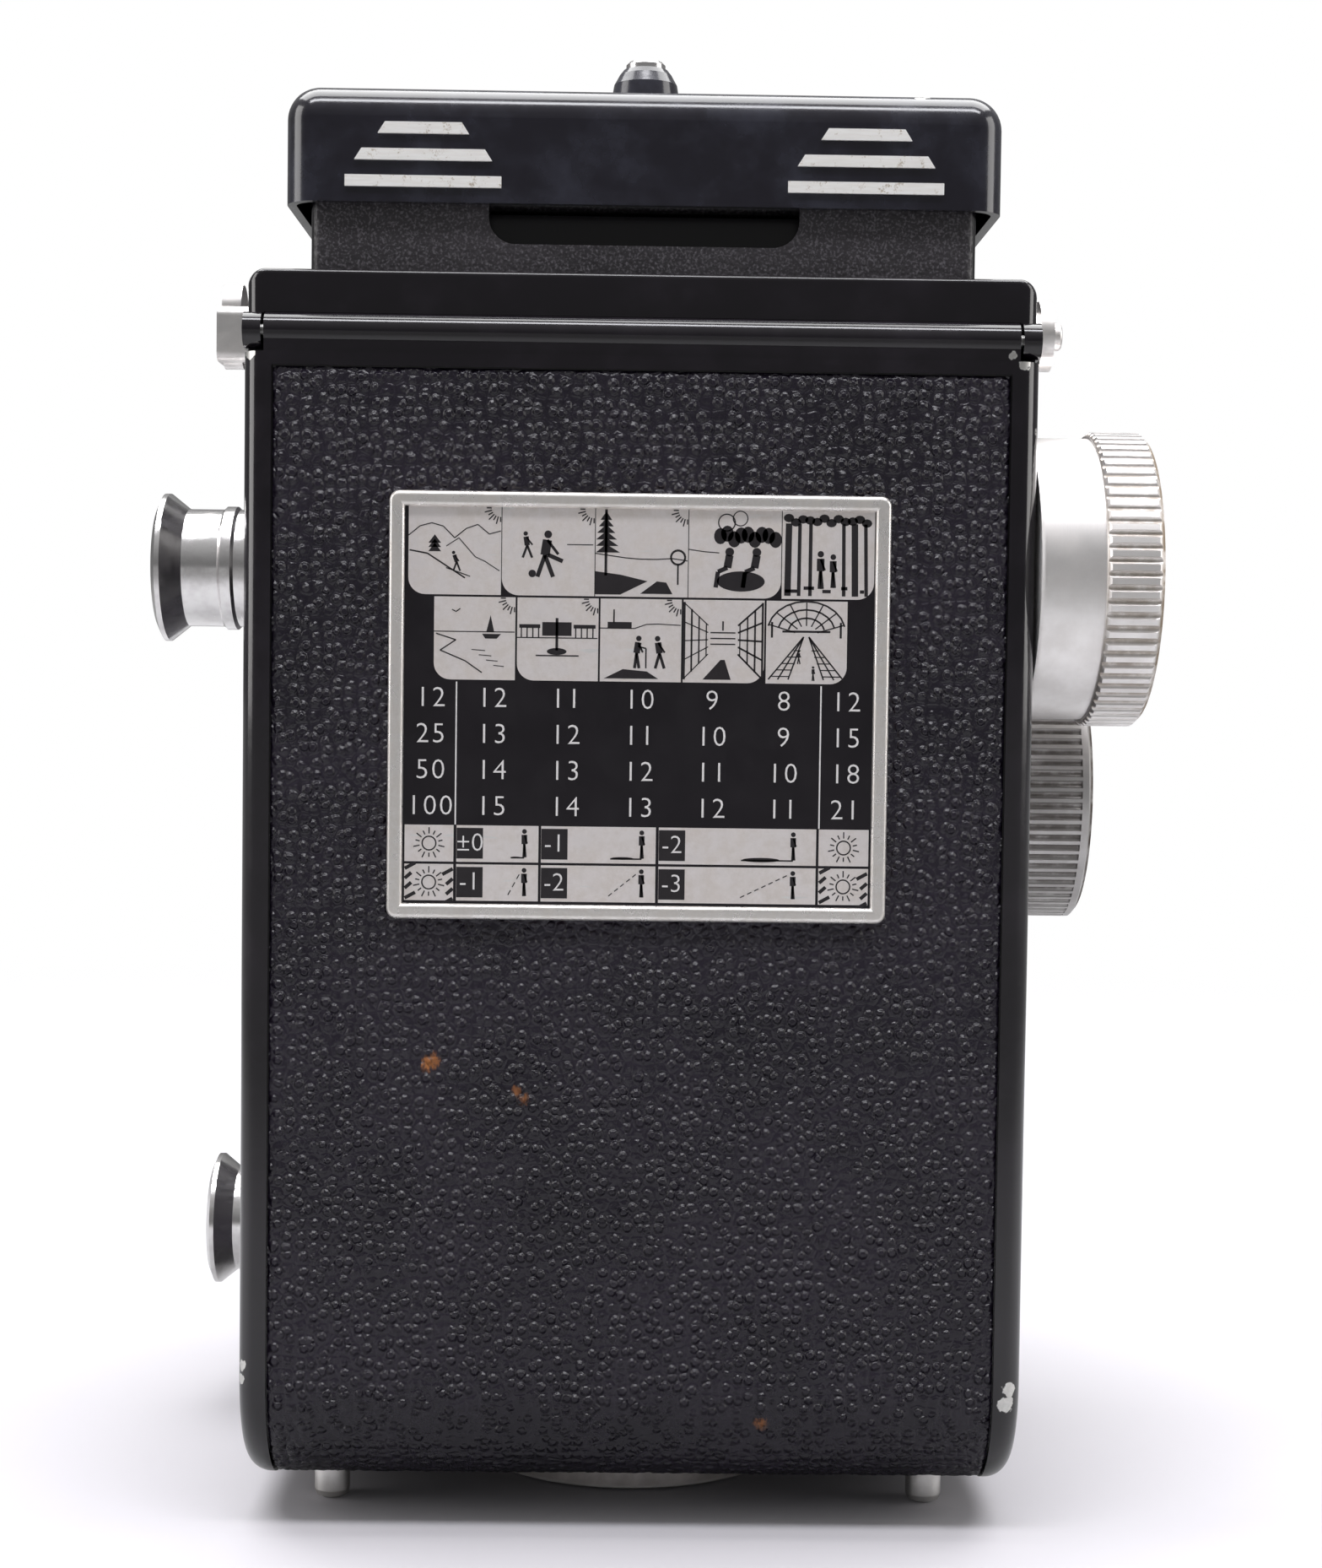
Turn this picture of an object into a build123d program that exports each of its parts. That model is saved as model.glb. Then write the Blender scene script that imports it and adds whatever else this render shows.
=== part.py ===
from build123d import *
import math
import os

os.makedirs("parts", exist_ok=True)

# Twin lens reflex camera for 6x6 roll film, in millimetres.
# +X is to the right seen from the back, +Y points the way the lenses look, +Z is up.
# The origin is on the axis of the tripod socket, level with its mouth and the feet.

# ---------------------------------------------------------------- overall sizes
body_width = 76.5
body_height = 119.6
rear_reach = 31.0
front_reach = 33.5
foot_height = 3.3

# ---------------------------------------------------------------- casting
wall = 2.4
deck_thickness = 4.6
deck_side_radius = 1.8
deck_edge_radius = 0.45
front_edge_radius = 2.5
rim_setback = 2.4
collar_half_width = 28.5
collar_low = 13.0
collar_drop = 10.9
collar_reach = 8.5
collar_wall = 1.5

# ---------------------------------------------------------------- back door and its hinge
door_skin = 1.3
door_flange = 4.0
door_flange_wall = 1.2
door_gap = 0.3
door_corner_radius = 12.0
door_edge_radius = 2.4
hinge_radius = 1.75
hinge_drop = 6.1
hinge_pin_radius = 0.7
hinge_ear = 1.75
hinge_web_inset = 0.25
leather = 0.6
leather_border = 2.85
leather_drop = 9.5
leather_wrap = 18.0
leather_fit = 0.1
table_width = 48.0
table_height = 41.0
table_drop = 41.8
table_bead = 1.5
table_proud = 1.0
table_plate_thickness = 0.45
foot_radius = 1.8
foot_shank = 0.9
foot_spread = 30.3
foot_rear = -18.0
foot_front = 21.0
bush_bore = 2.55
bush_radius = 4.76
bush_length = 8.0
boss_radius = 9.2
lock_ring_inner = 9.5
lock_ring_outer = 17.5
lock_ring_thickness = 2.8
latch_travel = 3.0
latch_width = 14.0
latch_thickness = 1.2

# ---------------------------------------------------------------- film path
spool_flange_radius = 12.4
spool_length = 65.6
spool_flange = 0.9
spool_core_radius = 5.8
spool_bore = 2.6
take_up_y = -17.0
take_up_drop = 28.4
supply_y = 17.8
supply_z = 20.6
gate_y = -27.0
gate_thickness = 1.6
gate_low = 21.5
gate_drop = 41.7
image_size = 56.0
roller_fit = 0.05
roller_journal = 0.8
roller_length = 60.0
upper_roller_radius = 1.6
lower_roller_radius = 2.6

# ---------------------------------------------------------------- optics
viewing_drop = 28.9
lens_spacing = 42.5
mirror_y = 4.5
mirror_thickness = 1.2
mirror_bracket = 0.8
screen_width = 57.4
screen_depth = 54.0
screen_thickness = 1.2
screen_y = 3.8
board_thickness = 2.0
board_gap = 0.5
skirt_wall = 1.6
skirt_clearance = 0.3
focus_travel = 7.0
focus_turn = 300.0
focus_y = 9.0
focus_drop = 50.9
focus_arm_x = 24.2
focus_arm_width = 2.6
cam_small_radius = 2.6
cam_gap = 0.3
shutter_radius = 23.0
shutter_depth = 8.5
barrel_radius = 13.5
bayonet_radius = 15.2
lever_layer = 1.0
lever_gap = 0.25
running_fit = 0.05
socket_x = 22.0
socket_z = 20.0
cable_bore = 1.5

# ---------------------------------------------------------------- knobs
wind_skirt_radius = 14.2
wind_rim_radius = 14.84
wind_gap = 0.35
wind_skirt_length = 6.25
wind_rim_length = 5.6
wind_teeth = 70
wind_shaft_radius = 3.0
focus_knob_radius = 14.2
focus_knob_face = 10.65
focus_scale_radius = 13.4
focus_teeth = 76
focus_shaft_radius = 1.5
counter_y = 11.0
counter_drop = 16.9
counter_window_radius = 2.6
counter_bezel_radius = 4.2
groove_radius = 0.4
spool_knob_radius = 7.42
spool_knob_reach = 10.05
spool_knob_neck = 5.9
spool_knob_travel = 7.5
spool_pin_radius = 2.55
lug_y = -17.0
lug_drop = 5.15
lug_stud_drop = 3.95

# ---------------------------------------------------------------- viewing hood
hood_half_width = 32.4
hood_rear = -26.2
hood_front = 31.6
hood_wall = 1.4
hood_height = 8.1
recess_half_width = 15.1
recess_base = 3.0
recess_depth = 3.4
lid_half_width = 34.9
lid_rear = -27.4
lid_front = 34.2
lid_base = 6.7
lid_height = 11.4
lid_wall = 0.9
lid_edge_radius = 3.2
lid_corner_radius = 3.4
lid_hinge_y = 33.1
lid_hinge_radius = 1.3
small_pin = 0.5
bar_proud = 0.3
button_y = -19.0
button_bore = 2.0
panel_thickness = 0.6
panel_roll = 0.8
rear_panel_height = 22.0
wing_height = 20.0
magnifier_pivot = 21.0
magnifier_offset = 17.0
magnifier_radius = 11.0

# ---------------------------------------------------------------- derived places
half_width = body_width / 2
inside_half = half_width - wall
rear_y = -rear_reach
front_y = front_reach
inner_front = front_y - wall
low_z = foot_height
top_z = low_z + body_height
deck_z = top_z - deck_thickness
hinge_y = rear_y + hinge_radius
hinge_z = top_z - hinge_drop
rim_y = rear_y + rim_setback
side_rear = rear_y + door_flange + door_gap
side_low = low_z + door_flange + door_gap
door_top = hinge_z - hinge_radius - 0.35
front_low = low_z + door_skin + door_gap
viewing_z = top_z - viewing_drop
taking_z = viewing_z - lens_spacing
collar_high = top_z - collar_drop
take_up_z = top_z - take_up_drop
gate_high = top_z - gate_drop
focus_z = top_z - focus_drop
counter_z = top_z - counter_drop
collar_front = front_y + collar_reach
board_rear = collar_front + board_gap
board_front = board_rear + board_thickness
skirt_rear = front_y + board_gap
skirt_half = collar_half_width + skirt_clearance
skirt_low = collar_low - skirt_clearance
skirt_high = collar_high + skirt_clearance
hood_z = top_z
hood_top = hood_z + hood_height
lid_low = hood_z + lid_base
lid_top = lid_low + lid_height
lid_hinge_z = lid_low + 0.3
screen_z = top_z - 3.3
latch_z = low_z + door_skin + 0.3


def block(x, y, z, mode=Mode.ADD):
    """Box between two limits along each axis."""
    with Locations(((x[0] + x[1]) / 2, (y[0] + y[1]) / 2, (z[0] + z[1]) / 2)):
        Box(x[1] - x[0], y[1] - y[0], z[1] - z[0], mode=mode)


def rod(axis, start, radius, length, mode=Mode.ADD):
    """Round bar that runs from start in the positive direction of an axis."""
    turn = {"X": (0, 90, 0), "Y": (-90, 0, 0), "Z": (0, 0, 0)}[axis]
    with Locations(Location(start, turn)):
        Cylinder(radius, length, align=(Align.CENTER, Align.CENTER, Align.MIN), mode=mode)


def turned(axis, centre, profile, mode=Mode.ADD):
    """Turned piece: profile holds (place along the axis, radius) pairs."""
    if axis == "X":
        plane = Plane(origin=(0, centre[0], centre[1]), x_dir=(1, 0, 0), z_dir=(0, -1, 0))
        line = Axis((0, centre[0], centre[1]), (1, 0, 0))
    elif axis == "Y":
        plane = Plane(origin=(centre[0], 0, centre[1]), x_dir=(0, 1, 0), z_dir=(1, 0, 0))
        line = Axis((centre[0], 0, centre[1]), (0, 1, 0))
    else:
        plane = Plane(origin=(centre[0], centre[1], 0), x_dir=(0, 0, 1), z_dir=(0, 1, 0))
        line = Axis((centre[0], centre[1], 0), (0, 0, 1))
    with BuildSketch(plane) as section:
        with BuildLine():
            Polyline(*profile, close=True)
        make_face()
    revolve(section.sketch, axis=line, mode=mode)


def side_plane(x):
    """Plane across the width: local x is Y, local y is Z, facing +X."""
    return Plane(origin=(x, 0, 0), x_dir=(0, 1, 0), z_dir=(1, 0, 0))


def rear_plane(y):
    """Upright plane facing the rear: local x is X, local y is Z, extrudes towards -Y."""
    return Plane(origin=(0, y, 0), x_dir=(1, 0, 0), z_dir=(0, -1, 0))


def bent_strip(x, top, front, inset, thickness, mode=Mode.ADD):
    """Strip that follows the back, the rounded lower corner and the bottom."""
    outer_y, outer_z = rear_y + inset, low_z + inset
    inner_y, inner_z = outer_y + thickness, outer_z + thickness
    radius = door_corner_radius - inset
    with BuildSketch(side_plane(x[0])) as section:
        with BuildLine():
            FilletPolyline((outer_y, top), (outer_y, outer_z), (front, outer_z), radius=radius)
            Line((front, outer_z), (front, inner_z))
            FilletPolyline(
                (front, inner_z), (inner_y, inner_z), (inner_y, top), radius=radius - thickness
            )
            Line((inner_y, top), (outer_y, top))
        make_face()
    extrude(section.sketch, amount=x[1] - x[0], mode=mode)


# ================================================================ body casting
# Die-cast shell: two side walls, a deck with the screen opening, and a front wall with
# a collar for the lens board. Its back and bottom are left open for the door.
with BuildPart() as body_casting:
    with BuildSketch(side_plane(-half_width)):
        with BuildLine():
            FilletPolyline(
                (side_rear, top_z),
                (side_rear, side_low),
                (front_y, side_low),
                radius=door_corner_radius - door_flange - door_gap,
            )
            Polyline((front_y, side_low), (front_y, top_z), (side_rear, top_z))
        make_face()
    extrude(amount=body_width)
    fillet(body_casting.edges().filter_by(Axis.Z).group_by(Axis.Y)[-1], front_edge_radius)
    block((-half_width, half_width), (rim_y, side_rear), (hinge_z + hinge_radius + 0.15, top_z))
    for sign in (-1, 1):
        x = sorted((sign * half_width, sign * (half_width - hinge_ear)))
        rod("X", (x[0], hinge_y, hinge_z), hinge_radius, hinge_ear)
        block(x, (hinge_y, side_rear + 1), (hinge_z - hinge_radius, hinge_z + hinge_radius))
        block(x, (rim_y, side_rear + 1), (hinge_z, hinge_z + hinge_radius + 0.15))
    deck_rear = body_casting.edges().filter_by(Axis.X).group_by(Axis.Z)[-1].sort_by(Axis.Y)[0]
    fillet(deck_rear, deck_edge_radius)
    deck_edges = body_casting.edges().filter_by(Axis.Y).group_by(Axis.Z)[-1]
    fillet(deck_edges, deck_side_radius)
    block((-inside_half, inside_half), (rear_y - 5, inner_front), (-1, deck_z), Mode.SUBTRACT)
    header = (hinge_y + hinge_radius + 0.35, hinge_y + hinge_radius + 2.35)
    block((-inside_half, inside_half), header, (door_top - 2, deck_z))
    block((-half_width + 1.5, half_width - 1.5), (inner_front, front_y), (front_low, side_low + 1))
    for sign in (-1, 1):
        x = sorted((sign * inside_half, sign * (inside_half + 0.9)))
        bent_strip(x, door_top - 0.5, front_y - 7.5, door_skin + 0.4, 4)
    block(
        (-collar_half_width, collar_half_width),
        (front_y, collar_front),
        (collar_low, collar_high),
    )
    block(
        (-collar_half_width + collar_wall, collar_half_width - collar_wall),
        (front_y, collar_front),
        (collar_low + collar_wall, collar_high - collar_wall),
        Mode.SUBTRACT,
    )
    rod("Y", (0, inner_front - 1, taking_z), 19.5, wall + 2, Mode.SUBTRACT)
    rod("Y", (0, inner_front - 1, viewing_z), 16.5, wall + 2, Mode.SUBTRACT)
    for sign in (-1, 1):
        x = sign * focus_arm_x
        slot = (x - focus_arm_width / 2 - 0.4, x + focus_arm_width / 2 + 0.4)
        block(slot, (inner_front - 1, front_y + 1), (focus_z - 2.4, focus_z + 2.4), Mode.SUBTRACT)
    block(
        (-screen_width / 2 + 1.7, screen_width / 2 - 1.7),
        (screen_y - screen_depth / 2 + 1.7, screen_y + screen_depth / 2 - 1.7),
        (deck_z - 1, top_z + 1),
        Mode.SUBTRACT,
    )
    block(
        (-screen_width / 2, screen_width / 2),
        (screen_y - screen_depth / 2, screen_y + screen_depth / 2),
        (screen_z, top_z + 1),
        Mode.SUBTRACT,
    )
    rod("X", (-half_width - 1, hinge_y, hinge_z), hinge_pin_radius, body_width + 2, Mode.SUBTRACT)
    # bores for the shafts on the right wall and the spool knobs on the left wall
    rod("X", (0, take_up_y, take_up_z), wind_shaft_radius + running_fit, 50, Mode.SUBTRACT)
    rod("X", (0, focus_y, focus_z), focus_shaft_radius + running_fit, 50, Mode.SUBTRACT)
    for y, z in ((take_up_y, take_up_z), (supply_y, supply_z)):
        rod("X", (-50, y, z), spool_pin_radius + running_fit, 50, Mode.SUBTRACT)
    # supply centre pin seat, counter window and counter dial pivot
    rod("X", (inside_half - 1, supply_y, supply_z), 2.0, 2.2, Mode.SUBTRACT)
    rod("X", (inside_half - 1, counter_y, counter_z), counter_window_radius, 5, Mode.SUBTRACT)
    rod("X", (inside_half - 1, counter_y - 5, counter_z), 0.8 + running_fit, 2.2, Mode.SUBTRACT)
    # shallow seats for the side leathers
    for sign in (-1, 1):
        x = sorted((sign * (half_width - leather), sign * (half_width + 1)))
        with BuildSketch(side_plane(x[0])) as seat:
            with Locations(((side_rear + front_y) / 2, (side_low + deck_z) / 2)):
                RectangleRounded(
                    front_y - side_rear - 7, deck_z - side_low - 9, front_edge_radius + 2
                )
        extrude(seat.sketch, amount=x[1] - x[0], mode=Mode.SUBTRACT)
body_casting.part.label = "body_casting"
export_step(body_casting.part, "parts/body_casting.step")

# Leather panels glued into the side seats, with holes where knobs and studs pass.
left_holes = ((take_up_y, take_up_z, 6.6), (supply_y, supply_z, 6.6))
right_holes = (
    (take_up_y, take_up_z, 14.6),
    (focus_y, focus_z, 14.0),
    (counter_y, counter_z, counter_bezel_radius + 0.3),
)
with BuildPart() as side_leathers:
    for start, holes in ((-half_width, left_holes), (half_width - leather, right_holes)):
        with BuildSketch(side_plane(start)):
            with Locations(((side_rear + front_y) / 2, (side_low + deck_z) / 2)):
                RectangleRounded(
                    front_y - side_rear - 7 - 2 * leather_fit,
                    deck_z - side_low - 9 - 2 * leather_fit,
                    front_edge_radius + 2 - leather_fit,
                )
            for y, z, radius in holes:
                with Locations((y, z)):
                    Circle(radius, mode=Mode.SUBTRACT)
            with Locations((lug_y, deck_z)):
                Rectangle(9, 12, mode=Mode.SUBTRACT)
        extrude(amount=leather)
side_leathers.part.label = "side_leathers"
export_step(side_leathers.part, "parts/side_leathers.step")

# ================================================================ back door
# Pressed door that closes the back and the bottom in one piece. It swings on the roll
# at its top and carries the leather, the exposure table, the feet and the lock.
with BuildPart() as door_shell:
    bent_strip((-half_width, half_width), door_top, front_y, 0, door_skin)
    for sign in (-1, 1):
        x = sorted((sign * half_width, sign * (half_width - door_flange_wall)))
        bent_strip(x, door_top, front_y, 0, door_flange)
    edges = door_shell.edges().filter_by(
        lambda e: abs(abs(e.center().X) - half_width) < 0.01
        and (abs(e.center().Y - rear_y) < 0.01 or abs(e.center().Z - low_z) < 0.01)
        and e.length > 20
    )
    corner = door_shell.edges().filter_by(GeomType.CIRCLE).filter_by(
        lambda e: abs(abs(e.center().X) - half_width) < 0.01 and e.radius > door_corner_radius - 0.1
    )
    fillet(edges + corner, door_edge_radius)
    # hinge roll and the web that joins it to the skin
    roll = half_width - hinge_ear - door_gap
    rod("X", (-roll, hinge_y, hinge_z), hinge_radius, 2 * roll)
    block(
        (-roll, roll),
        (rear_y + hinge_web_inset, rear_y + door_skin),
        (door_top - 0.5, hinge_z - hinge_radius / 3),
    )
    rod("X", (-half_width, hinge_y, hinge_z), hinge_pin_radius, body_width, Mode.SUBTRACT)
    # seat of the leather
    seat_half = half_width - leather_border
    bent_strip(
        (-seat_half, seat_half),
        top_z - leather_drop,
        rear_y + leather_wrap,
        0,
        leather,
        Mode.SUBTRACT,
    )
    rod("Z", (0, 0, low_z - 1), bush_radius, 5, Mode.SUBTRACT)
    with Locations((0, lock_ring_inner + 3.7, low_z + 1)):
        Box(3.4, latch_travel + 3.4, 6, mode=Mode.SUBTRACT)
    for x in (-foot_spread, foot_spread):
        for y in (foot_rear, foot_front):
            rod("Z", (x, y, low_z - 1), foot_shank, 5, Mode.SUBTRACT)
    # two staples that keep the latch bar down
    for y in (20.0, 26.0):
        outer_staple = latch_width / 2 + 1.5
        inner_staple = latch_width / 2 + 0.3
        staple_top = latch_z + latch_thickness + 0.8
        block((-outer_staple, outer_staple), (y - 1, y + 1), (low_z + door_skin, staple_top))
        block(
            (-inner_staple, inner_staple),
            (y - 1, y + 1),
            (low_z + door_skin, staple_top - 0.5),
            Mode.SUBTRACT,
        )
door_shell.part.label = "door_shell"
export_step(door_shell.part, "parts/door_shell.step")

with BuildPart() as door_leather:
    bent_strip(
        (-seat_half + leather_fit, seat_half - leather_fit),
        top_z - leather_drop - leather_fit,
        rear_y + leather_wrap - leather_fit,
        0,
        leather,
    )
    for x in (-foot_spread, foot_spread):
        rod("Z", (x, foot_rear, low_z - 1), foot_radius + leather_fit, 3, Mode.SUBTRACT)
door_leather.part.label = "door_leather"
export_step(door_leather.part, "parts/door_leather.step")

# Exposure table: a printed plate held by a bright frame with a rounded bead.
table_z = top_z - table_drop
with BuildPart() as table_plate:
    with BuildSketch(rear_plane(rear_y)):
        with Locations((0, table_z)):
            Rectangle(table_width - 2 * table_bead, table_height - 2 * table_bead)
    extrude(amount=table_plate_thickness)
table_plate.part.label = "table_plate"
export_step(table_plate.part, "parts/table_plate.step")

with BuildPart() as table_frame:
    with BuildSketch(rear_plane(rear_y)):
        with Locations((0, table_z)):
            RectangleRounded(table_width, table_height, 1.0)
            Rectangle(table_width - 2 * table_bead, table_height - 2 * table_bead, mode=Mode.SUBTRACT)
    extrude(amount=table_proud)
    fillet(table_frame.faces().sort_by(Axis.Y)[0].edges(), 0.5)
table_frame.part.label = "table_frame"
export_step(table_frame.part, "parts/table_frame.step")

# Four studs riveted through the door bottom.
with BuildPart() as feet:
    for x in (-foot_spread, foot_spread):
        for y, shoulder in ((foot_rear, low_z + leather), (foot_front, low_z)):
            turned(
                "Z",
                (x, y),
                (
                    (0, 0),
                    (0, foot_radius - 0.7),
                    (0.25, foot_radius - 0.2),
                    (0.8, foot_radius),
                    (shoulder, foot_radius),
                    (shoulder, foot_shank),
                    (low_z + door_skin, foot_shank),
                    (low_z + door_skin, 0),
                ),
            )
feet.part.label = "feet"
export_step(feet.part, "parts/feet.step")

# Tripod boss with a threaded steel bush, and the lock ring that turns round it.
with BuildPart() as tripod_boss:
    turned("Z", (0, 0), ((0, bush_radius), (0, boss_radius), (low_z, boss_radius), (low_z, bush_radius)))
    rod("Z", (0, 0, low_z + door_skin), boss_radius, 1.6)
    rod("Z", (0, 0, low_z + door_skin), bush_radius, 1.6, Mode.SUBTRACT)
tripod_boss.part.label = "tripod_boss"
export_step(tripod_boss.part, "parts/tripod_boss.step")

with BuildPart() as tripod_bush:
    rod("Z", (0, 0, 0), bush_radius, bush_length)
    rod("Z", (0, 0, 0), bush_bore, bush_length, Mode.SUBTRACT)
tripod_bush.part.label = "tripod_bush"
export_step(tripod_bush.part, "parts/tripod_bush.step")

ring_low = low_z - 0.3 - lock_ring_thickness
with BuildPart() as lock_ring:
    turned(
        "Z",
        (0, 0),
        (
            (ring_low, lock_ring_inner + 1.4),
            (ring_low, lock_ring_outer - 1.2),
            (ring_low + 0.5, lock_ring_outer),
            (ring_low + lock_ring_thickness, lock_ring_outer),
            (ring_low + lock_ring_thickness, lock_ring_inner),
            (ring_low + 0.5, lock_ring_inner),
        ),
    )
    with BuildSketch(Plane.XY.offset(ring_low)):
        with PolarLocations((lock_ring_inner + lock_ring_outer) / 2 + 1, 2, start_angle=45):
            SlotOverall(8, 2.4, rotation=90)
    extrude(amount=0.6, mode=Mode.SUBTRACT)
    # cam window for the drive pin of the latch
    with BuildSketch(Plane.XY.offset(ring_low + 1.2)):
        with BuildLine():
            arc_in = CenterArc((0, 0), lock_ring_inner + 0.5, 10, 95)
            arc_out = CenterArc((0, 0), lock_ring_outer - 1.2, 10, 95)
            Line(arc_in @ 0, arc_out @ 0)
            Line(arc_in @ 1, arc_out @ 1)
        make_face()
    extrude(amount=lock_ring_thickness, mode=Mode.SUBTRACT)
lock_ring.part.label = "lock_ring"
export_step(lock_ring.part, "parts/lock_ring.step")

# Latch bar inside the bottom, drawn back by the lock ring through its drive pin.
latch_pin_y = lock_ring_inner + 3.7 + latch_travel / 2
with BuildPart() as latch_bar:
    block(
        (-latch_width / 2, latch_width / 2),
        (boss_radius + 0.4 + latch_travel, inner_front - 0.3),
        (latch_z, latch_z + latch_thickness),
    )
    rod("Z", (0, latch_pin_y, ring_low + 1.6), 1.3, latch_z - ring_low - 1.6)
latch_bar.part.label = "latch_bar"
export_step(latch_bar.part, "parts/latch_bar.step")

# Pressure plate that keeps the film flat, on two bowed springs.
plate_y = gate_y - 0.3
with BuildPart() as pressure_plate:
    with BuildSketch(rear_plane(plate_y)):
        with Locations((0, taking_z)):
            RectangleRounded(62, 66, 2)
    extrude(amount=0.9)
pressure_plate.part.label = "pressure_plate"
export_step(pressure_plate.part, "parts/pressure_plate.step")

with BuildPart() as pressure_springs:
    for z in (taking_z - 20, taking_z + 20):
        with BuildSketch(Plane.XY.offset(z - 3)) as strip:
            with BuildLine():
                bow = ThreePointArc(
                    (-22, plate_y - 0.9 - 0.25),
                    (0, rear_y + door_skin + 0.05),
                    (22, plate_y - 0.9 - 0.25),
                )
                offset(bow, amount=0.2, side=Side.LEFT)
            make_face()
        extrude(strip.sketch, amount=6)
pressure_springs.part.label = "pressure_springs"
export_step(pressure_springs.part, "parts/pressure_springs.step")

# ================================================================ film path
# Film gate: the plate with the square image opening, and ears for the two rollers.
upper_roller = (gate_y + upper_roller_radius + 0.2, gate_high + 1.9)
lower_roller = (gate_y + lower_roller_radius + 0.4, gate_low - 4.0)
with BuildPart() as film_gate:
    block((-inside_half, inside_half), (gate_y, gate_y + gate_thickness), (gate_low, gate_high))
    with BuildSketch(rear_plane(gate_y + gate_thickness)):
        with Locations((0, taking_z)):
            Rectangle(image_size, image_size)
    extrude(amount=gate_thickness, mode=Mode.SUBTRACT)
    for sign in (-1, 1):
        x = sorted((sign * (roller_length / 2 + 3.2), sign * (roller_length / 2 + 4.6)))
        block(x, (gate_y, upper_roller[0] + 1.6), (gate_high - 1, upper_roller[1] + 1.6))
        block(x, (gate_y, lower_roller[0] + 1.6), (lower_roller[1] - 1.6, gate_low + 1))
    for y, z in (upper_roller, lower_roller):
        rod("X", (-inside_half, y, z), roller_journal + roller_fit, 2 * inside_half, Mode.SUBTRACT)
film_gate.part.label = "film_gate"
export_step(film_gate.part, "parts/film_gate.step")

for name, place, radius in (
    ("upper_roller", upper_roller, upper_roller_radius),
    ("lower_roller", lower_roller, lower_roller_radius),
):
    with BuildPart() as film_roller:
        rod("X", (-roller_length / 2, place[0], place[1]), radius, roller_length)
        journal = roller_length / 2 + 4.4
        rod("X", (-journal, place[0], place[1]), roller_journal, 2 * journal)
    film_roller.part.label = name
    export_step(film_roller.part, "parts/" + name + ".step")

# Tapered baffle that keeps stray light off the film.
baffle_end = -3.0
with BuildPart() as light_baffle:
    for grow, mode in ((1.0, Mode.ADD), (0.0, Mode.SUBTRACT)):
        with BuildSketch(rear_plane(gate_y + gate_thickness)) as wide:
            with Locations((0, taking_z)):
                Rectangle(image_size + 1 + 2 * grow, image_size + 1 + 2 * grow)
        with BuildSketch(rear_plane(baffle_end)) as narrow:
            with Locations((0, taking_z)):
                Rectangle(image_size - 9 + 2 * grow, image_size - 9 + 2 * grow)
        loft([wide.sketch.face(), narrow.sketch.face()], mode=mode)
light_baffle.part.label = "light_baffle"
export_step(light_baffle.part, "parts/light_baffle.step")

# Empty take-up spool: flanges, core with the film slit, bores and the key slot.
with BuildPart() as take_up_spool:
    end = spool_length / 2
    for start in (-end, end - spool_flange):
        rod("X", (start, take_up_y, take_up_z), spool_flange_radius, spool_flange)
    rod("X", (-end, take_up_y, take_up_z), spool_core_radius, 2 * end)
    for start in (-end, end - 5):
        rod("X", (start, take_up_y, take_up_z), spool_bore, 5, Mode.SUBTRACT)
    block(
        (end - 4, end + 1),
        (take_up_y - 4.6, take_up_y + 4.6),
        (take_up_z - 0.9, take_up_z + 0.9),
        Mode.SUBTRACT,
    )
    block(
        (-end + 8, end - 8),
        (take_up_y - 9, take_up_y + 9),
        (take_up_z - 0.6, take_up_z + 0.6),
        Mode.SUBTRACT,
    )
take_up_spool.part.label = "take_up_spool"
export_step(take_up_spool.part, "parts/take_up_spool.step")

# Fixed centre pin for the supply spool, and the leaf spring that brakes its roll.
with BuildPart() as supply_pin:
    rod("X", (inside_half - 3, supply_y, supply_z), spool_pin_radius, 3)
    rod("X", (inside_half - 1, supply_y, supply_z), 2.0, 2.2)
supply_pin.part.label = "supply_pin"
export_step(supply_pin.part, "parts/supply_pin.step")

with BuildPart() as film_spring:
    block((-7, 7), (inner_front - 0.3, inner_front), (13.5, 31))
    block((-7, 7), (inner_front - 0.6, inner_front - 0.3), (18, 26))
film_spring.part.label = "film_spring"
export_step(film_spring.part, "parts/film_spring.step")

# ================================================================ mirror and screen
mirror_plane = Plane(origin=(0, mirror_y, viewing_z), x_dir=(1, 0, 0), z_dir=(0, 1, 1))
with BuildPart() as mirror:
    with BuildSketch(mirror_plane):
        with BuildLine():
            Polyline(
                (-27, -32.5), (27, -32.5), (27, 2), (16, 33), (-16, 33), (-27, 2), close=True
            )
        make_face()
    extrude(amount=-mirror_thickness)
mirror.part.label = "mirror"
export_step(mirror.part, "parts/mirror.step")

with BuildPart() as mirror_support:
    with BuildSketch(mirror_plane.offset(-mirror_thickness)):
        with BuildLine():
            Polyline(
                (-inside_half, -33),
                (inside_half, -33),
                (inside_half, 10),
                (19, 22),
                (19, 34),
                (-19, 34),
                (-19, 22),
                (-inside_half, 10),
                close=True,
            )
        make_face()
    extrude(amount=-mirror_bracket)
mirror_support.part.label = "mirror_support"
export_step(mirror_support.part, "parts/mirror_support.step")

with BuildPart() as focusing_screen:
    block(
        (-screen_width / 2 + 0.1, screen_width / 2 - 0.1),
        (screen_y - screen_depth / 2 + 0.1, screen_y + screen_depth / 2 - 0.1),
        (screen_z, screen_z + screen_thickness),
    )
focusing_screen.part.label = "focusing_screen"
export_step(focusing_screen.part, "parts/focusing_screen.step")

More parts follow.
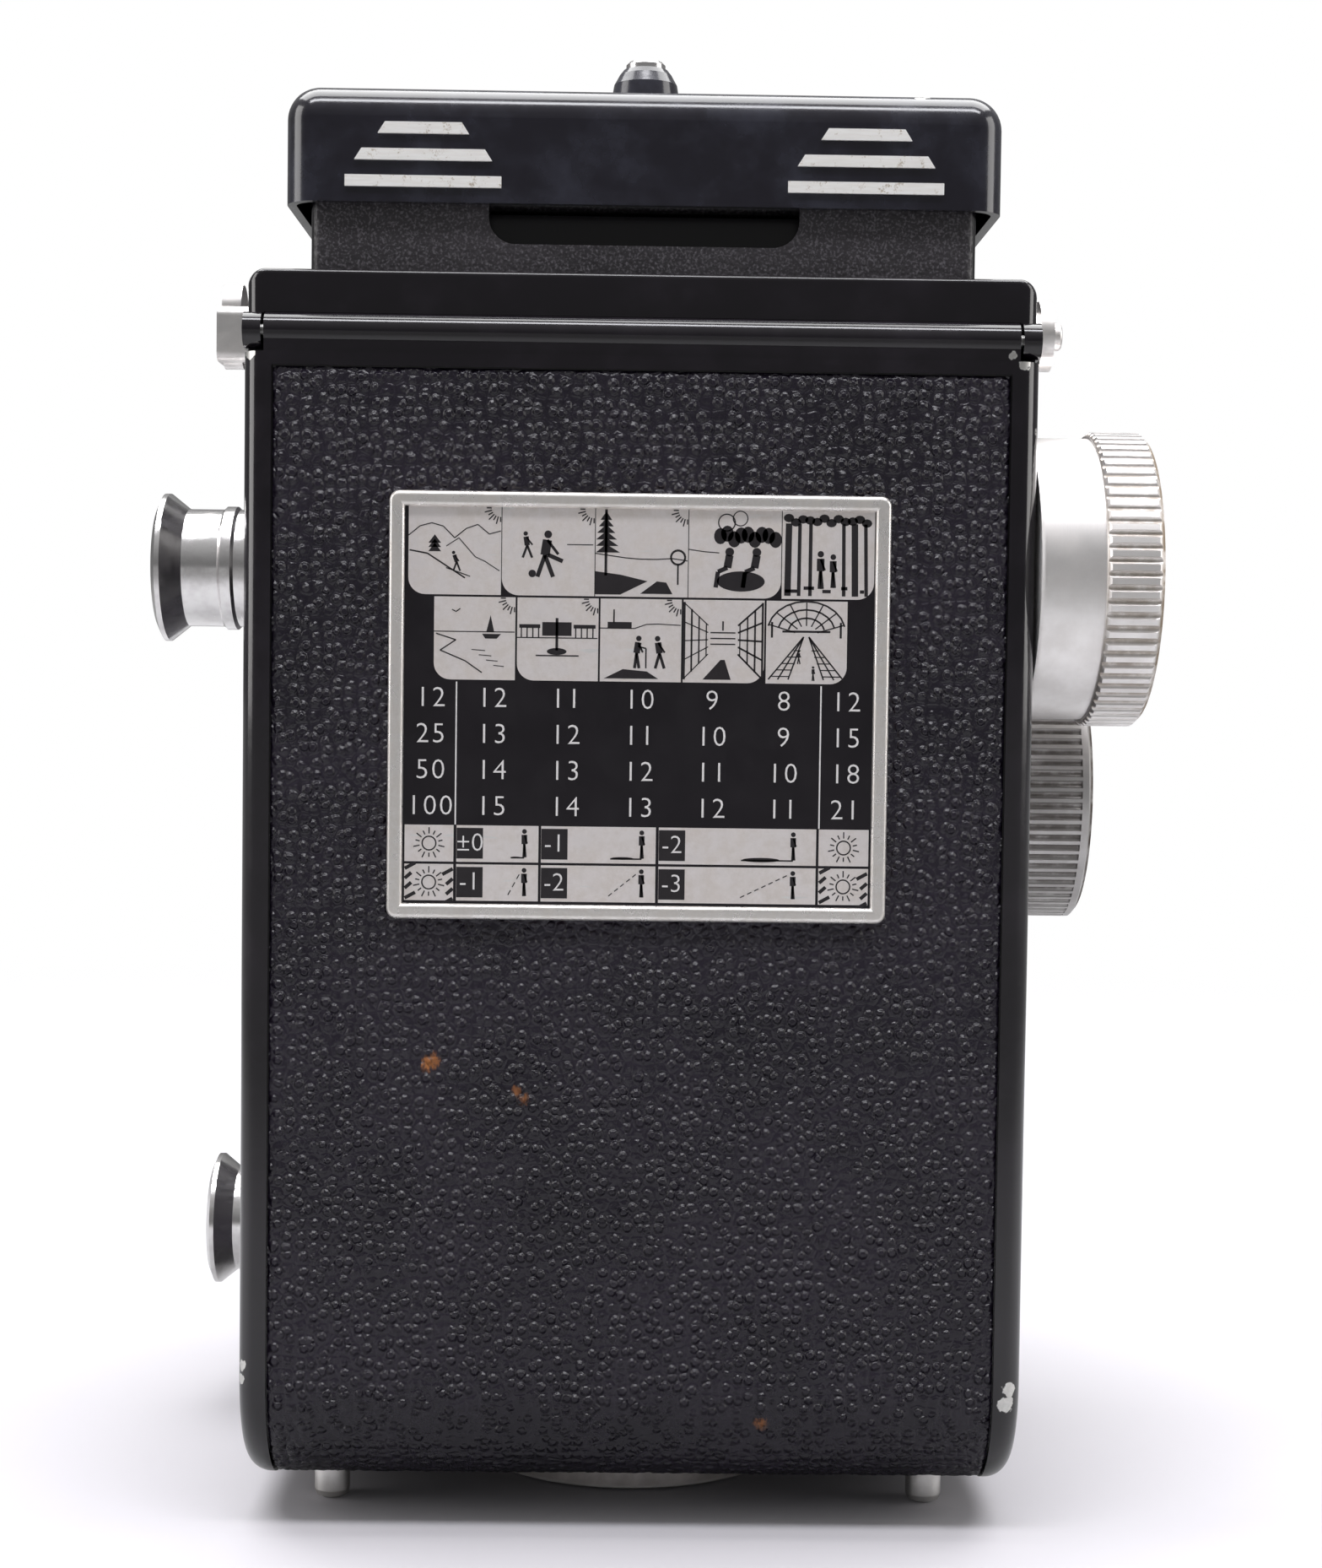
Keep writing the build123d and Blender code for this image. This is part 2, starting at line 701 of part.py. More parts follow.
with BuildPart() as screen_frame:
    block(
        (-screen_width / 2 + 0.1, screen_width / 2 - 0.1),
        (screen_y - screen_depth / 2 + 0.1, screen_y + screen_depth / 2 - 0.1),
        (screen_z + screen_thickness, screen_z + screen_thickness + 0.9),
    )
    block(
        (-screen_width / 2 + 2, screen_width / 2 - 2),
        (screen_y - screen_depth / 2 + 2, screen_y + screen_depth / 2 - 2),
        (screen_z, top_z),
        Mode.SUBTRACT,
    )
screen_frame.part.label = "screen_frame"
export_step(screen_frame.part, "parts/screen_frame.step")

# ================================================================ viewing hood
# Low wall frame screwed to the deck, with the thumb recess in its rear wall.
light_half = screen_width / 2 - 2
with BuildPart() as hood_base:
    with BuildSketch(Plane.XY.offset(hood_z)):
        with Locations((0, (hood_rear + hood_front) / 2)):
            RectangleRounded(2 * hood_half_width, hood_front - hood_rear, 1.2)
    extrude(amount=hood_height)
    block(
        (-hood_half_width + hood_wall, hood_half_width - hood_wall),
        (hood_rear + hood_wall, hood_front - hood_wall),
        (hood_z + 1.2, hood_top + 1),
        Mode.SUBTRACT,
    )
    block(
        (-light_half, light_half),
        (screen_y - screen_depth / 2 + 1.7, screen_y + screen_depth / 2 - 1.7),
        (hood_z - 1, hood_top),
        Mode.SUBTRACT,
    )
    block(
        (-recess_half_width - 1.6, recess_half_width + 1.6),
        (hood_rear + hood_wall - 0.5, hood_rear + recess_depth + 1),
        (hood_z, hood_z + 6.4),
    )
    with BuildSketch(rear_plane(hood_rear + recess_depth)):
        with Locations((0, hood_z + recess_base + 5)):
            RectangleRounded(2 * recess_half_width, 10, 2.6)
    extrude(amount=recess_depth + 1, mode=Mode.SUBTRACT)
    # knuckles of the lid hinge on the front wall
    for sign in (-1, 1):
        x = sorted((sign * 10.0, sign * 22.0))
        rod("X", (x[0], lid_hinge_y, lid_hinge_z), lid_hinge_radius, 12.0)
        block(x, (hood_front - 0.5, lid_hinge_y), (lid_hinge_z - lid_hinge_radius, lid_hinge_z))
    rod("X", (-40, lid_hinge_y, lid_hinge_z), small_pin + running_fit, 80, Mode.SUBTRACT)
hood_base.part.label = "hood_base"
export_step(hood_base.part, "parts/hood_base.step")

# Pressed lid of the hood, enamelled, with rounded edges.
with BuildPart() as hood_lid:
    with BuildSketch(Plane.XY.offset(lid_low)):
        with Locations((0, (lid_rear + lid_front) / 2)):
            RectangleRounded(2 * lid_half_width, lid_front - lid_rear, lid_corner_radius)
    extrude(amount=lid_height)
    fillet(hood_lid.faces().sort_by(Axis.Z)[-1].edges(), lid_edge_radius)
    offset(amount=-lid_wall, openings=hood_lid.faces().sort_by(Axis.Z)[0])
    for x, length in ((-31.0, 8.7), (-9.7, 19.4), (22.3, 8.7)):
        rod("X", (x, lid_hinge_y, lid_hinge_z), lid_hinge_radius, length)
    for x in (-22.3, 9.7):
        rod("X", (x, lid_hinge_y, lid_hinge_z), lid_hinge_radius + 0.3, 12.6, Mode.SUBTRACT)
    rod("X", (-40, lid_hinge_y, lid_hinge_z), small_pin + running_fit, 80, Mode.SUBTRACT)
    rod("Z", (0, button_y, lid_top - lid_wall - 1), 1.4 + running_fit, 4, Mode.SUBTRACT)
    # two lugs under the lid that carry the magnifier's pivot
    pivot_y = lid_hinge_y - magnifier_pivot
    pivot_z = lid_top - lid_wall - 2.2
    for sign in (-1, 1):
        x = sorted((sign * 6.3, sign * 7.8))
        block(x, (pivot_y - 1.4, pivot_y + 1.4), (pivot_z - 1.4, lid_top - lid_wall + 0.3))
    rod("X", (-8, pivot_y, pivot_z), small_pin + running_fit, 16, Mode.SUBTRACT)
hood_lid.part.label = "hood_lid"
export_step(hood_lid.part, "parts/hood_lid.step")

# Six bright bars on the rear of the lid, three each side, longer towards the bottom.
bar_middle = 21.4
with BuildPart() as lid_bars:
    for sign in (-1, 1):
        for length, height, slant in ((8.8, 7.6, 0.7), (13.3, 5.05, 0.7), (15.1, 2.5, 0.0)):
            z = lid_low + height - 0.55
            with BuildSketch(rear_plane(lid_rear)) as bar_face:
                with BuildLine():
                    Polyline(
                        (sign * bar_middle - length / 2, z - 0.55),
                        (sign * bar_middle + length / 2, z - 0.55),
                        (sign * bar_middle + length / 2 - slant, z + 0.55),
                        (sign * bar_middle - length / 2 + slant, z + 0.55),
                        close=True,
                    )
                make_face()
            extrude(bar_face.sketch, amount=bar_proud)
lid_bars.part.label = "lid_bars"
export_step(lid_bars.part, "parts/lid_bars.step")

# Lid button: a flared collar on the lid and a push button in it.
with BuildPart() as button_collar:
    turned(
        "Z",
        (0, button_y),
        (
            (lid_top, button_bore),
            (lid_top, 3.4),
            (lid_top + 0.4, 3.4),
            (lid_top + 1.9, 3.15),
            (lid_top + 2.9, 2.6),
            (lid_top + 3.4, button_bore + 0.2),
            (lid_top + 3.4, button_bore),
        ),
    )
button_collar.part.label = "button_collar"
export_step(button_collar.part, "parts/button_collar.step")

with BuildPart() as lid_button:
    turned(
        "Z",
        (0, button_y),
        (
            (lid_top - 3, 0),
            (lid_top - 3, 2.2),
            (lid_top - 2.2, 2.2),
            (lid_top - 2.2, 1.4),
            (lid_top + 1.5, 1.4),
            (lid_top + 1.5, button_bore - running_fit),
            (lid_top + 3.9, button_bore - running_fit),
            (lid_top + 4.2, button_bore - running_fit - 0.3),
            (lid_top + 4.2, 0),
        ),
    )
lid_button.part.label = "lid_button"
export_step(lid_button.part, "parts/lid_button.step")

# Magnifier on its arm, folded flat under the lid.
lens_y = pivot_y - magnifier_offset
with BuildPart() as magnifier_arm:
    rod("X", (-6.0, pivot_y, pivot_z), 1.3, 12.0)
    rod("Z", (0, lens_y, pivot_z - 1.3), magnifier_radius, 1.8)
    block((-6.0, 6.0), (lens_y, pivot_y), (pivot_z - 1.3, pivot_z - 0.3))
    rod("Z", (0, lens_y, pivot_z - 2), magnifier_radius - 1.2, 4, Mode.SUBTRACT)
    rod("X", (-7.6, pivot_y, pivot_z), small_pin, 15.2)
magnifier_arm.part.label = "magnifier_arm"
export_step(magnifier_arm.part, "parts/magnifier_arm.step")

with BuildPart() as magnifier_lens:
    turned(
        "Z",
        (0, lens_y),
        (
            (pivot_z - 1.5, 0),
            (pivot_z - 1.1, magnifier_radius - 1.2),
            (pivot_z + 0.1, magnifier_radius - 1.2),
            (pivot_z + 0.7, 0),
        ),
    )
magnifier_lens.part.label = "magnifier_lens"
export_step(magnifier_lens.part, "parts/magnifier_lens.step")

# Folding panels of the hood, on wire hinges: a wing on each side lies lowest, with ends
# cut at 45 degrees, and the rear panel lies over both wings.
fold_z = hood_top - 1.6
rear_fold_z = fold_z + panel_roll + panel_thickness
rear_fold_y = hood_rear + recess_depth + 2.2
wing_fold_x = hood_half_width - hood_wall - panel_roll - 0.3
corner_gap = 1.6
span = wing_fold_x - 2 * corner_gap
with BuildPart() as hood_rear_panel:
    block(
        (-span, span),
        (rear_fold_y, rear_fold_y + rear_panel_height),
        (rear_fold_z - panel_thickness / 2, rear_fold_z + panel_thickness / 2),
    )
    rod("X", (-span, rear_fold_y, rear_fold_z), panel_roll, 2 * span)
    rod("X", (-40, rear_fold_y, rear_fold_z), 0.4 + running_fit, 80, Mode.SUBTRACT)
hood_rear_panel.part.label = "hood_rear_panel"
export_step(hood_rear_panel.part, "parts/hood_rear_panel.step")

wing_rear = rear_fold_y + corner_gap
wing_front = hood_front - hood_wall - 1.6
for side, sign in (("left", -1), ("right", 1)):
    with BuildPart() as hood_wing:
        with BuildSketch(Plane.XY.offset(fold_z - panel_thickness / 2)):
            with BuildLine():
                Polyline(
                    (sign * wing_fold_x, wing_rear),
                    (sign * wing_fold_x, wing_front),
                    (sign * (wing_fold_x - wing_height), wing_front - wing_height),
                    (sign * (wing_fold_x - wing_height), wing_rear + wing_height),
                    close=True,
                )
            make_face()
        extrude(amount=panel_thickness)
        rod("Y", (sign * wing_fold_x, wing_rear, fold_z), panel_roll, wing_front - wing_rear)
        rod("Y", (sign * wing_fold_x, -40, fold_z), 0.4 + running_fit, 80, Mode.SUBTRACT)
    hood_wing.part.label = side + "_wing"
    export_step(hood_wing.part, "parts/" + side + "_wing.step")

# Hinge pins and wires: the door's, the lid's and the three of the folding panels.
with BuildPart() as hinge_pins:
    rod("X", (-half_width + 0.1, hinge_y, hinge_z), hinge_pin_radius - running_fit, body_width - 0.2)
    rod("X", (-31.5, lid_hinge_y, lid_hinge_z), small_pin, 63)
    rod("X", (-span - 0.6, rear_fold_y, rear_fold_z), 0.4, 2 * span + 1.2)
    for sign in (-1, 1):
        rod(
            "Y",
            (sign * wing_fold_x, wing_rear - 0.6, fold_z),
            0.4,
            wing_front - wing_rear + 1.2,
        )
hinge_pins.part.label = "hinge_pins"
export_step(hinge_pins.part, "parts/hinge_pins.step")

# ================================================================ knobs on the right
# Wind knob: a plain skirt, a finely grooved rim, its shaft and the key for the spool.
wind_start = half_width + wind_gap
wind_step = wind_start + wind_skirt_length
wind_end = wind_step + wind_rim_length
with BuildPart() as wind_knob:
    turned(
        "X",
        (take_up_y, take_up_z),
        (
            (wind_start, 0),
            (wind_start, wind_skirt_radius),
            (wind_step, wind_skirt_radius),
            (wind_step, wind_rim_radius - 0.4),
            (wind_step + 0.4, wind_rim_radius),
            (wind_end - 0.6, wind_rim_radius),
            (wind_end, wind_rim_radius - 0.6),
            (wind_end, wind_rim_radius - 2.4),
            (wind_end - 0.8, wind_rim_radius - 3.0),
            (wind_end - 0.8, 0),
        ),
    )
    with BuildSketch(side_plane(wind_step)):
        with Locations((take_up_y, take_up_z)):
            with PolarLocations(wind_rim_radius + 0.1, wind_teeth):
                Circle(groove_radius)
    extrude(amount=wind_rim_length, mode=Mode.SUBTRACT)
wind_knob.part.label = "wind_knob"
export_step(wind_knob.part, "parts/wind_knob.step")

spool_end = spool_length / 2
with BuildPart() as wind_shaft:
    rod("X", (spool_end + 0.3, take_up_y, take_up_z), wind_shaft_radius, wind_start - spool_end - 0.3)
    rod("X", (spool_end - 3.4, take_up_y, take_up_z), spool_bore - running_fit, 3.8)
    block(
        (spool_end - 3.4, spool_end + 0.4),
        (take_up_y - 4.2, take_up_y + 4.2),
        (take_up_z - 0.6, take_up_z + 0.6),
    )
wind_shaft.part.label = "wind_shaft"
export_step(wind_shaft.part, "parts/wind_shaft.step")

# Focus knob, its fixed distance scale, and the cross shaft with two spiral cams.
focus_face = half_width + focus_knob_face
focus_start = half_width + 2.2
with BuildPart() as focus_scale:
    rod("X", (half_width, focus_y, focus_z), focus_scale_radius, 1.9)
    rod("X", (half_width - 1, focus_y, focus_z), focus_shaft_radius + running_fit, 5, Mode.SUBTRACT)
focus_scale.part.label = "focus_scale"
export_step(focus_scale.part, "parts/focus_scale.step")

with BuildPart() as focus_knob:
    turned(
        "X",
        (focus_y, focus_z),
        (
            (focus_start, 0),
            (focus_start, focus_knob_radius - 0.3),
            (focus_start + 0.3, focus_knob_radius),
            (focus_face - 0.5, focus_knob_radius),
            (focus_face, focus_knob_radius - 0.6),
            (focus_face, focus_knob_radius - 2.2),
            (focus_face - 0.7, focus_knob_radius - 2.8),
            (focus_face - 0.7, 0),
        ),
    )
    with BuildSketch(side_plane(focus_start)):
        with Locations((focus_y, focus_z)):
            with PolarLocations(focus_knob_radius + 0.1, focus_teeth):
                Circle(groove_radius)
    extrude(amount=focus_face - focus_start - 1.2, mode=Mode.SUBTRACT)
focus_knob.part.label = "focus_knob"
export_step(focus_knob.part, "parts/focus_knob.step")


def cam_radius(angle):
    """Radius of the spiral cam, in degrees behind the follower."""
    if angle <= focus_turn:
        return cam_small_radius + focus_travel * angle / focus_turn
    fall = min(1.0, (angle - focus_turn) / 24.0)
    return cam_small_radius + focus_travel * (1.0 - fall)


with BuildPart() as focus_shaft:
    shaft_start = -focus_arm_x - focus_arm_width / 2 - 1.0
    rod("X", (shaft_start, focus_y, focus_z), focus_shaft_radius, focus_start - shaft_start)
    for sign in (-1, 1):
        with BuildSketch(side_plane(sign * focus_arm_x - focus_arm_width / 2)) as cam:
            with BuildLine():
                Polyline(
                    *[
                        (
                            focus_y + cam_radius(step) * math.cos(math.radians(-step)),
                            focus_z + cam_radius(step) * math.sin(math.radians(-step)),
                        )
                        for step in range(0, 360, 6)
                    ],
                    close=True,
                )
            make_face()
        extrude(cam.sketch, amount=focus_arm_width)
focus_shaft.part.label = "focus_shaft"
export_step(focus_shaft.part, "parts/focus_shaft.step")

# Exposure counter: a numbered dial behind a glazed window.
with BuildPart() as counter_dial:
    rod("X", (inside_half - 1.4, counter_y - 5, counter_z), 7.4, 0.8)
    rod("X", (inside_half - 1.4, counter_y - 5, counter_z), 0.8, 2.4)
counter_dial.part.label = "counter_dial"
export_step(counter_dial.part, "parts/counter_dial.step")

with BuildPart() as counter_bezel:
    turned(
        "X",
        (counter_y, counter_z),
        (
            (half_width - leather, counter_window_radius),
            (half_width - leather, counter_bezel_radius),
            (half_width + 0.3, counter_bezel_radius),
            (half_width + 0.8, counter_bezel_radius - 0.6),
            (half_width + 0.8, counter_window_radius),
        ),
    )
counter_bezel.part.label = "counter_bezel"
export_step(counter_bezel.part, "parts/counter_bezel.step")

with BuildPart() as counter_window:
    rod("X", (half_width - 0.9, counter_y, counter_z), counter_window_radius, 1.3)
counter_window.part.label = "counter_window"
export_step(counter_window.part, "parts/counter_window.step")

# ================================================================ spool knobs on the left
# Both knobs are alike: a waisted head outside and a pin that enters the spool.
knob_out = -half_width - spool_knob_reach
for name, y, z in (
    ("upper_spool_knob", take_up_y, take_up_z),
    ("lower_spool_knob", supply_y, supply_z),
):
    with BuildPart() as spool_knob:
        turned(
            "X",
            (y, z),
            (
                (knob_out, 0),
                (knob_out, spool_knob_radius - 1.1),
                (knob_out + 0.5, spool_knob_radius),
                (knob_out + 1.0, spool_knob_radius),
                (knob_out + 2.9, spool_knob_neck),
                (-half_width - 3.6, spool_knob_neck),
                (-half_width - 3.3, spool_knob_neck + 0.3),
                (-half_width - 2.3, spool_knob_neck + 0.3),
                (-half_width - 2.0, spool_knob_neck),
                (-half_width - 0.4, spool_knob_neck),
                (-half_width - 0.4, spool_pin_radius),
                (-spool_end + 3.4, spool_pin_radius),
                (-spool_end + 4.0, spool_pin_radius - 0.6),
                (-spool_end + 4.0, 0),
            ),
        )
    spool_knob.part.label = name
    export_step(spool_knob.part, "parts/" + name + ".step")

# ================================================================ strap studs
with BuildPart() as strap_lugs:
    with BuildSketch(side_plane(-half_width - 4.15)):
        with Locations((lug_y, top_z - lug_drop)):
            RectangleRounded(6.4, 5.5, 1.0)
    extrude(amount=4.15)
    with BuildSketch(side_plane(-half_width - 3.75)):
        with Locations((lug_y, top_z - lug_drop + 0.95)):
            SlotOverall(8.4, 5.0, rotation=90)
    extrude(amount=1.9)
    rod("X", (half_width, lug_y, top_z - lug_stud_drop), 2.4, 1.65)
    rod("X", (half_width + 1.65, lug_y, top_z - lug_stud_drop), 3.5, 1.3)
    rod("X", (half_width + 2.95, lug_y, top_z - lug_stud_drop), 1.4, 1.15)
    fillet(strap_lugs.faces().sort_by(Axis.X)[-1].edges(), 0.4)
strap_lugs.part.label = "strap_lugs"
export_step(strap_lugs.part, "parts/strap_lugs.step")

# ================================================================ front board and lenses
# The board is a cap that slides over the casting's collar, pushed by two arms.
arm_back = focus_y + cam_small_radius + cam_gap
with BuildPart() as lens_board:
    block(
        (-skirt_half - skirt_wall, skirt_half + skirt_wall),
        (skirt_rear, board_front),
        (skirt_low - skirt_wall, skirt_high + skirt_wall),
    )
    fillet(lens_board.edges().filter_by(Axis.Y), 4.0)
    fillet(lens_board.faces().sort_by(Axis.Y)[-1].edges(), 1.2)
    block(
        (-skirt_half, skirt_half), (skirt_rear - 1, board_rear), (skirt_low, skirt_high), Mode.SUBTRACT
    )
    for sign in (-1, 1):
        x = sign * focus_arm_x
        block(
            (x - focus_arm_width / 2, x + focus_arm_width / 2),
            (arm_back, board_rear + 0.5),
            (focus_z - 2, focus_z + 2),
        )
    rod("Y", (0, board_rear - 1, taking_z), 16.5, 6, Mode.SUBTRACT)
    rod("Y", (0, board_rear - 1, viewing_z), 13.0, 6, Mode.SUBTRACT)
    for x in (-socket_x, socket_x):
        rod("Y", (x, board_rear - 1, socket_z), 2.0, 6, Mode.SUBTRACT)
lens_board.part.label = "lens_board"
export_step(lens_board.part, "parts/lens_board.step")

shutter_front = board_front + shutter_depth
with BuildPart() as shutter_housing:
    turned(
        "Y",
        (0, taking_z),
        (
            (board_rear, 12.0),
            (board_rear, 16.5),
            (board_front, 16.5),
            (board_front, shutter_radius),
            (shutter_front - 1.0, shutter_radius),
            (shutter_front, shutter_radius - 1.0),
            (shutter_front, 12.0),
        ),
    )
shutter_housing.part.label = "shutter_housing"
export_step(shutter_housing.part, "parts/shutter_housing.step")

blade_y = board_rear + 3.0
with BuildPart() as shutter_blades:
    for layer in range(5):
        with BuildSketch(rear_plane(blade_y + 0.3 * layer + 0.2)) as blade:
            with Locations((0, taking_z)):
                Circle(11.8)
            with Locations(
                (
                    11.8 * math.cos(math.radians(72 * layer)),
                    taking_z + 11.8 * math.sin(math.radians(72 * layer)),
                )
            ):
                Circle(9.0, mode=Mode.INTERSECT)
        extrude(blade.sketch, amount=0.2)
    rod("Y", (0, blade_y - 0.3, taking_z), 11.8, 0.3)
shutter_blades.part.label = "shutter_blades"
export_step(shutter_blades.part, "parts/shutter_blades.step")

with BuildPart() as iris_blades:
    rod("Y", (0, blade_y + 2.4, taking_z), 11.8, 0.4)
    with BuildSketch(rear_plane(blade_y + 3)):
        with Locations((0, taking_z)):
            RegularPolygon(7.5, 10)
    extrude(amount=1, mode=Mode.SUBTRACT)
iris_blades.part.label = "iris_blades"
export_step(iris_blades.part, "parts/iris_blades.step")

lever_start = shutter_front + lever_gap
lever_pitch = lever_layer + lever_gap
bezel_start = lever_start + 3 * lever_pitch
barrel_front = bezel_start + 6.0
with BuildPart() as taking_barrel:
    turned(
        "Y",
        (0, taking_z),
        (
            (shutter_front - 2.0, 9.5),
            (shutter_front - 2.0, 12.0),
            (shutter_front, 12.0),
            (shutter_front, barrel_radius),
            (bezel_start, barrel_radius),
            (bezel_start, 19.0),
            (bezel_start + 1.2, 19.0),
            (bezel_start + 1.8, 17.8),
            (bezel_start + 1.8, barrel_radius),
            (barrel_front, barrel_radius),
            (barrel_front, 11.5),
            (barrel_front - 4.5, 10.5),
            (barrel_front - 4.5, 9.5),
        ),
    )
taking_barrel.part.label = "taking_barrel"
export_step(taking_barrel.part, "parts/taking_barrel.step")

viewing_front = board_front + 13.5
with BuildPart() as viewing_barrel:
    turned(
        "Y",
        (0, viewing_z),
        (
            (board_rear - 3.0, 10.5),
            (board_rear - 3.0, 13.0),
            (board_front, 13.0),
            (board_front, 18.4),
            (board_front + 1.4, 18.4),
            (board_front + 2.2, 17.4),
            (board_front + 2.2, barrel_radius),
            (viewing_front, barrel_radius),
            (viewing_front, 12.2),
            (viewing_front - 4.0, 11.2),
            (viewing_front - 4.0, 10.5),
        ),
    )
viewing_barrel.part.label = "viewing_barrel"
export_step(viewing_barrel.part, "parts/viewing_barrel.step")

# Bayonet rings on the fronts of both barrels, for filters and caps.
with BuildPart() as lens_bayonets:
    for front, z in ((barrel_front, taking_z), (viewing_front, viewing_z)):
        turned(
            "Y",
            (0, z),
            (
                (front - 4.0, barrel_radius),
                (front - 4.0, bayonet_radius),
                (front - 0.3, bayonet_radius),
                (front, bayonet_radius - 0.3),
                (front, barrel_radius),
            ),
        )
        with BuildSketch(rear_plane(front - 2.6)) as notches:
            with Locations((0, z)):
                with PolarLocations(bayonet_radius, 3, start_angle=30):
                    Rectangle(1.2, 5)
        extrude(notches.sketch, amount=1.4, mode=Mode.SUBTRACT)
lens_bayonets.part.label = "lens_bayonets"
export_step(lens_bayonets.part, "parts/lens_bayonets.step")


def lens_profile(front, radius, thickness, front_bulge, rear_bulge):
    """Outline of a lens from its front pole to its rear pole, as (place, radius)."""
    steps = 8
    rim_front = front - front_bulge
    rim_rear = front - thickness + rear_bulge
    fore = [
        (rim_front + front_bulge * (1 - (i / steps) ** 2), radius * i / steps)
        for i in range(steps + 1)
    ]
    aft = [
        (rim_rear - rear_bulge * (1 - (i / steps) ** 2), radius * i / steps)
        for i in range(steps, -1, -1)
    ]
    return fore + aft


with BuildPart() as lens_glasses:
    turned("Y", (0, taking_z), lens_profile(barrel_front - 1.2, 10.5, 3.3, 1.7, 0.2))
    turned("Y", (0, viewing_z), lens_profile(viewing_front - 0.6, 11.2, 3.4, 1.7, 0.2))
    turned("Y", (0, taking_z), lens_profile(board_rear + 2.2, 9.4, 4.0, 0.5, 1.2))
    turned("Y", (0, viewing_z), lens_profile(board_rear + 1.5, 10.5, 3.6, 0.4, 1.0))
lens_glasses.part.label = "lens_glasses"
export_step(lens_glasses.part, "parts/lens_glasses.step")

# Rear lens cell, and the nut that clamps the shutter to the board.
with BuildPart() as rear_cell:
    turned(
        "Y",
        (0, taking_z),
        (
            (board_rear - 2.2, 12.2),
            (board_rear - 2.2, 18.5),
            (board_rear, 18.5),
            (board_rear, 12.2),
        ),
    )
    turned(
        "Y",
        (0, taking_z),
        (
            (board_rear - 1.8, 9.4),
            (board_rear - 1.8, 12.0),
            (board_rear + 2.4, 12.0),
            (board_rear + 2.4, 9.4),
        ),
    )
rear_cell.part.label = "rear_cell"
export_step(rear_cell.part, "parts/rear_cell.step")

# Three ring levers stacked on the taking barrel; each arm ends in a raised finger grip.
for layer, (name, angle, reach, grip) in enumerate(
    (("release_lever", 270, 27.5, 4.2), ("aperture_lever", 200, 25.5, 3.2), ("speed_lever", 340, 25.5, 3.2))
):
    start = lever_start + layer * lever_pitch
    with BuildPart() as ring_lever:
        rod("Y", (0, start, taking_z), 17.0, lever_layer)
        with BuildSketch(rear_plane(start + lever_layer)) as arm:
            with Locations((0, taking_z)):
                with PolarLocations(reach / 2 + 6, 1, start_angle=angle):
                    Rectangle(reach - 12, grip)
        extrude(arm.sketch, amount=lever_layer)
        with BuildSketch(rear_plane(start + lever_layer + 1.8)) as finger:
            with Locations((0, taking_z)):
                with PolarLocations(reach - 1.0, 1, start_angle=angle):
                    Rectangle(2.0, grip)
        extrude(finger.sketch, amount=lever_layer + 1.8)
        rod("Y", (0, start - 1, taking_z), barrel_radius + running_fit, 6, Mode.SUBTRACT)
    ring_lever.part.label = name
    export_step(ring_lever.part, "parts/" + name + ".step")

# Flash socket and cable release socket, seated in the lower corners of the board.
with BuildPart() as board_sockets:
    rod("Y", (socket_x, board_rear, socket_z), 2.0, board_thickness + 4.5)
    rod("Y", (socket_x, board_front, socket_z), 3.4, 1.0)
    rod("Y", (socket_x, board_front + 1.5, socket_z), 1.4, 5, Mode.SUBTRACT)
    rod("Y", (socket_x, board_front + 1.0, socket_z), 0.4, 2.5)
    rod("Y", (-socket_x, board_rear, socket_z), 2.0, board_thickness)
    rod("Y", (-socket_x, board_front, socket_z), 3.2, 3.5)
    rod("Y", (-socket_x, board_front - 1.5, socket_z), cable_bore, 6, Mode.SUBTRACT)
board_sockets.part.label = "board_sockets"
export_step(board_sockets.part, "parts/board_sockets.step")

# Four slotted screws that hold the board on its carrier.
with BuildPart() as board_screws:
    for x in (-24.5, 24.5):
        for z in (33.0, 107.0):
            rod("Y", (x, board_front, z), 1.7, 0.6)
            block(
                (x - 1.8, x + 1.8), (board_front + 0.3, board_front + 0.7), (z - 0.25, z + 0.25), Mode.SUBTRACT
            )
board_screws.part.label = "board_screws"
export_step(board_screws.part, "parts/board_screws.step")
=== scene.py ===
import math

import bmesh
import bpy
from mathutils import Matrix, Vector, noise


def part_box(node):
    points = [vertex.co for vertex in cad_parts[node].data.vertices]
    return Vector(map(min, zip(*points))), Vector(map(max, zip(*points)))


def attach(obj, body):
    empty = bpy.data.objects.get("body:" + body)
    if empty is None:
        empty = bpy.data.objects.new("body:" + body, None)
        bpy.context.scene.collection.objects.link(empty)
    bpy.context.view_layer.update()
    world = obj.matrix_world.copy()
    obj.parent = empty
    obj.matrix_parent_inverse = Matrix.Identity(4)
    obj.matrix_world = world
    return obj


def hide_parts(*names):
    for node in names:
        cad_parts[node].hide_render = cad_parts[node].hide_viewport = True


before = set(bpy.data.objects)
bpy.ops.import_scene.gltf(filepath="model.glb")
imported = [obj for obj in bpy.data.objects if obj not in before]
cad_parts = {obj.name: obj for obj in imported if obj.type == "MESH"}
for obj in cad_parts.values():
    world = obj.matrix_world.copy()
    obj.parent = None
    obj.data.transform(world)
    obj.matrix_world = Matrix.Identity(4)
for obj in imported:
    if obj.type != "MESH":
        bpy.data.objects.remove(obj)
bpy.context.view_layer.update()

MM = 0.001


# ---------------------------------------------------------------- view and studio
# The camera body is seen from behind at the height of its table. A bright overcast
# light comes from above and slightly beyond it, on a plain white surface.
eye_place = Vector((-1.1, -271.155, 84.384)) * MM
eye_pitch, eye_yaw, eye_roll = 0.044, 0.014, 0.013
focal_length = 57.38

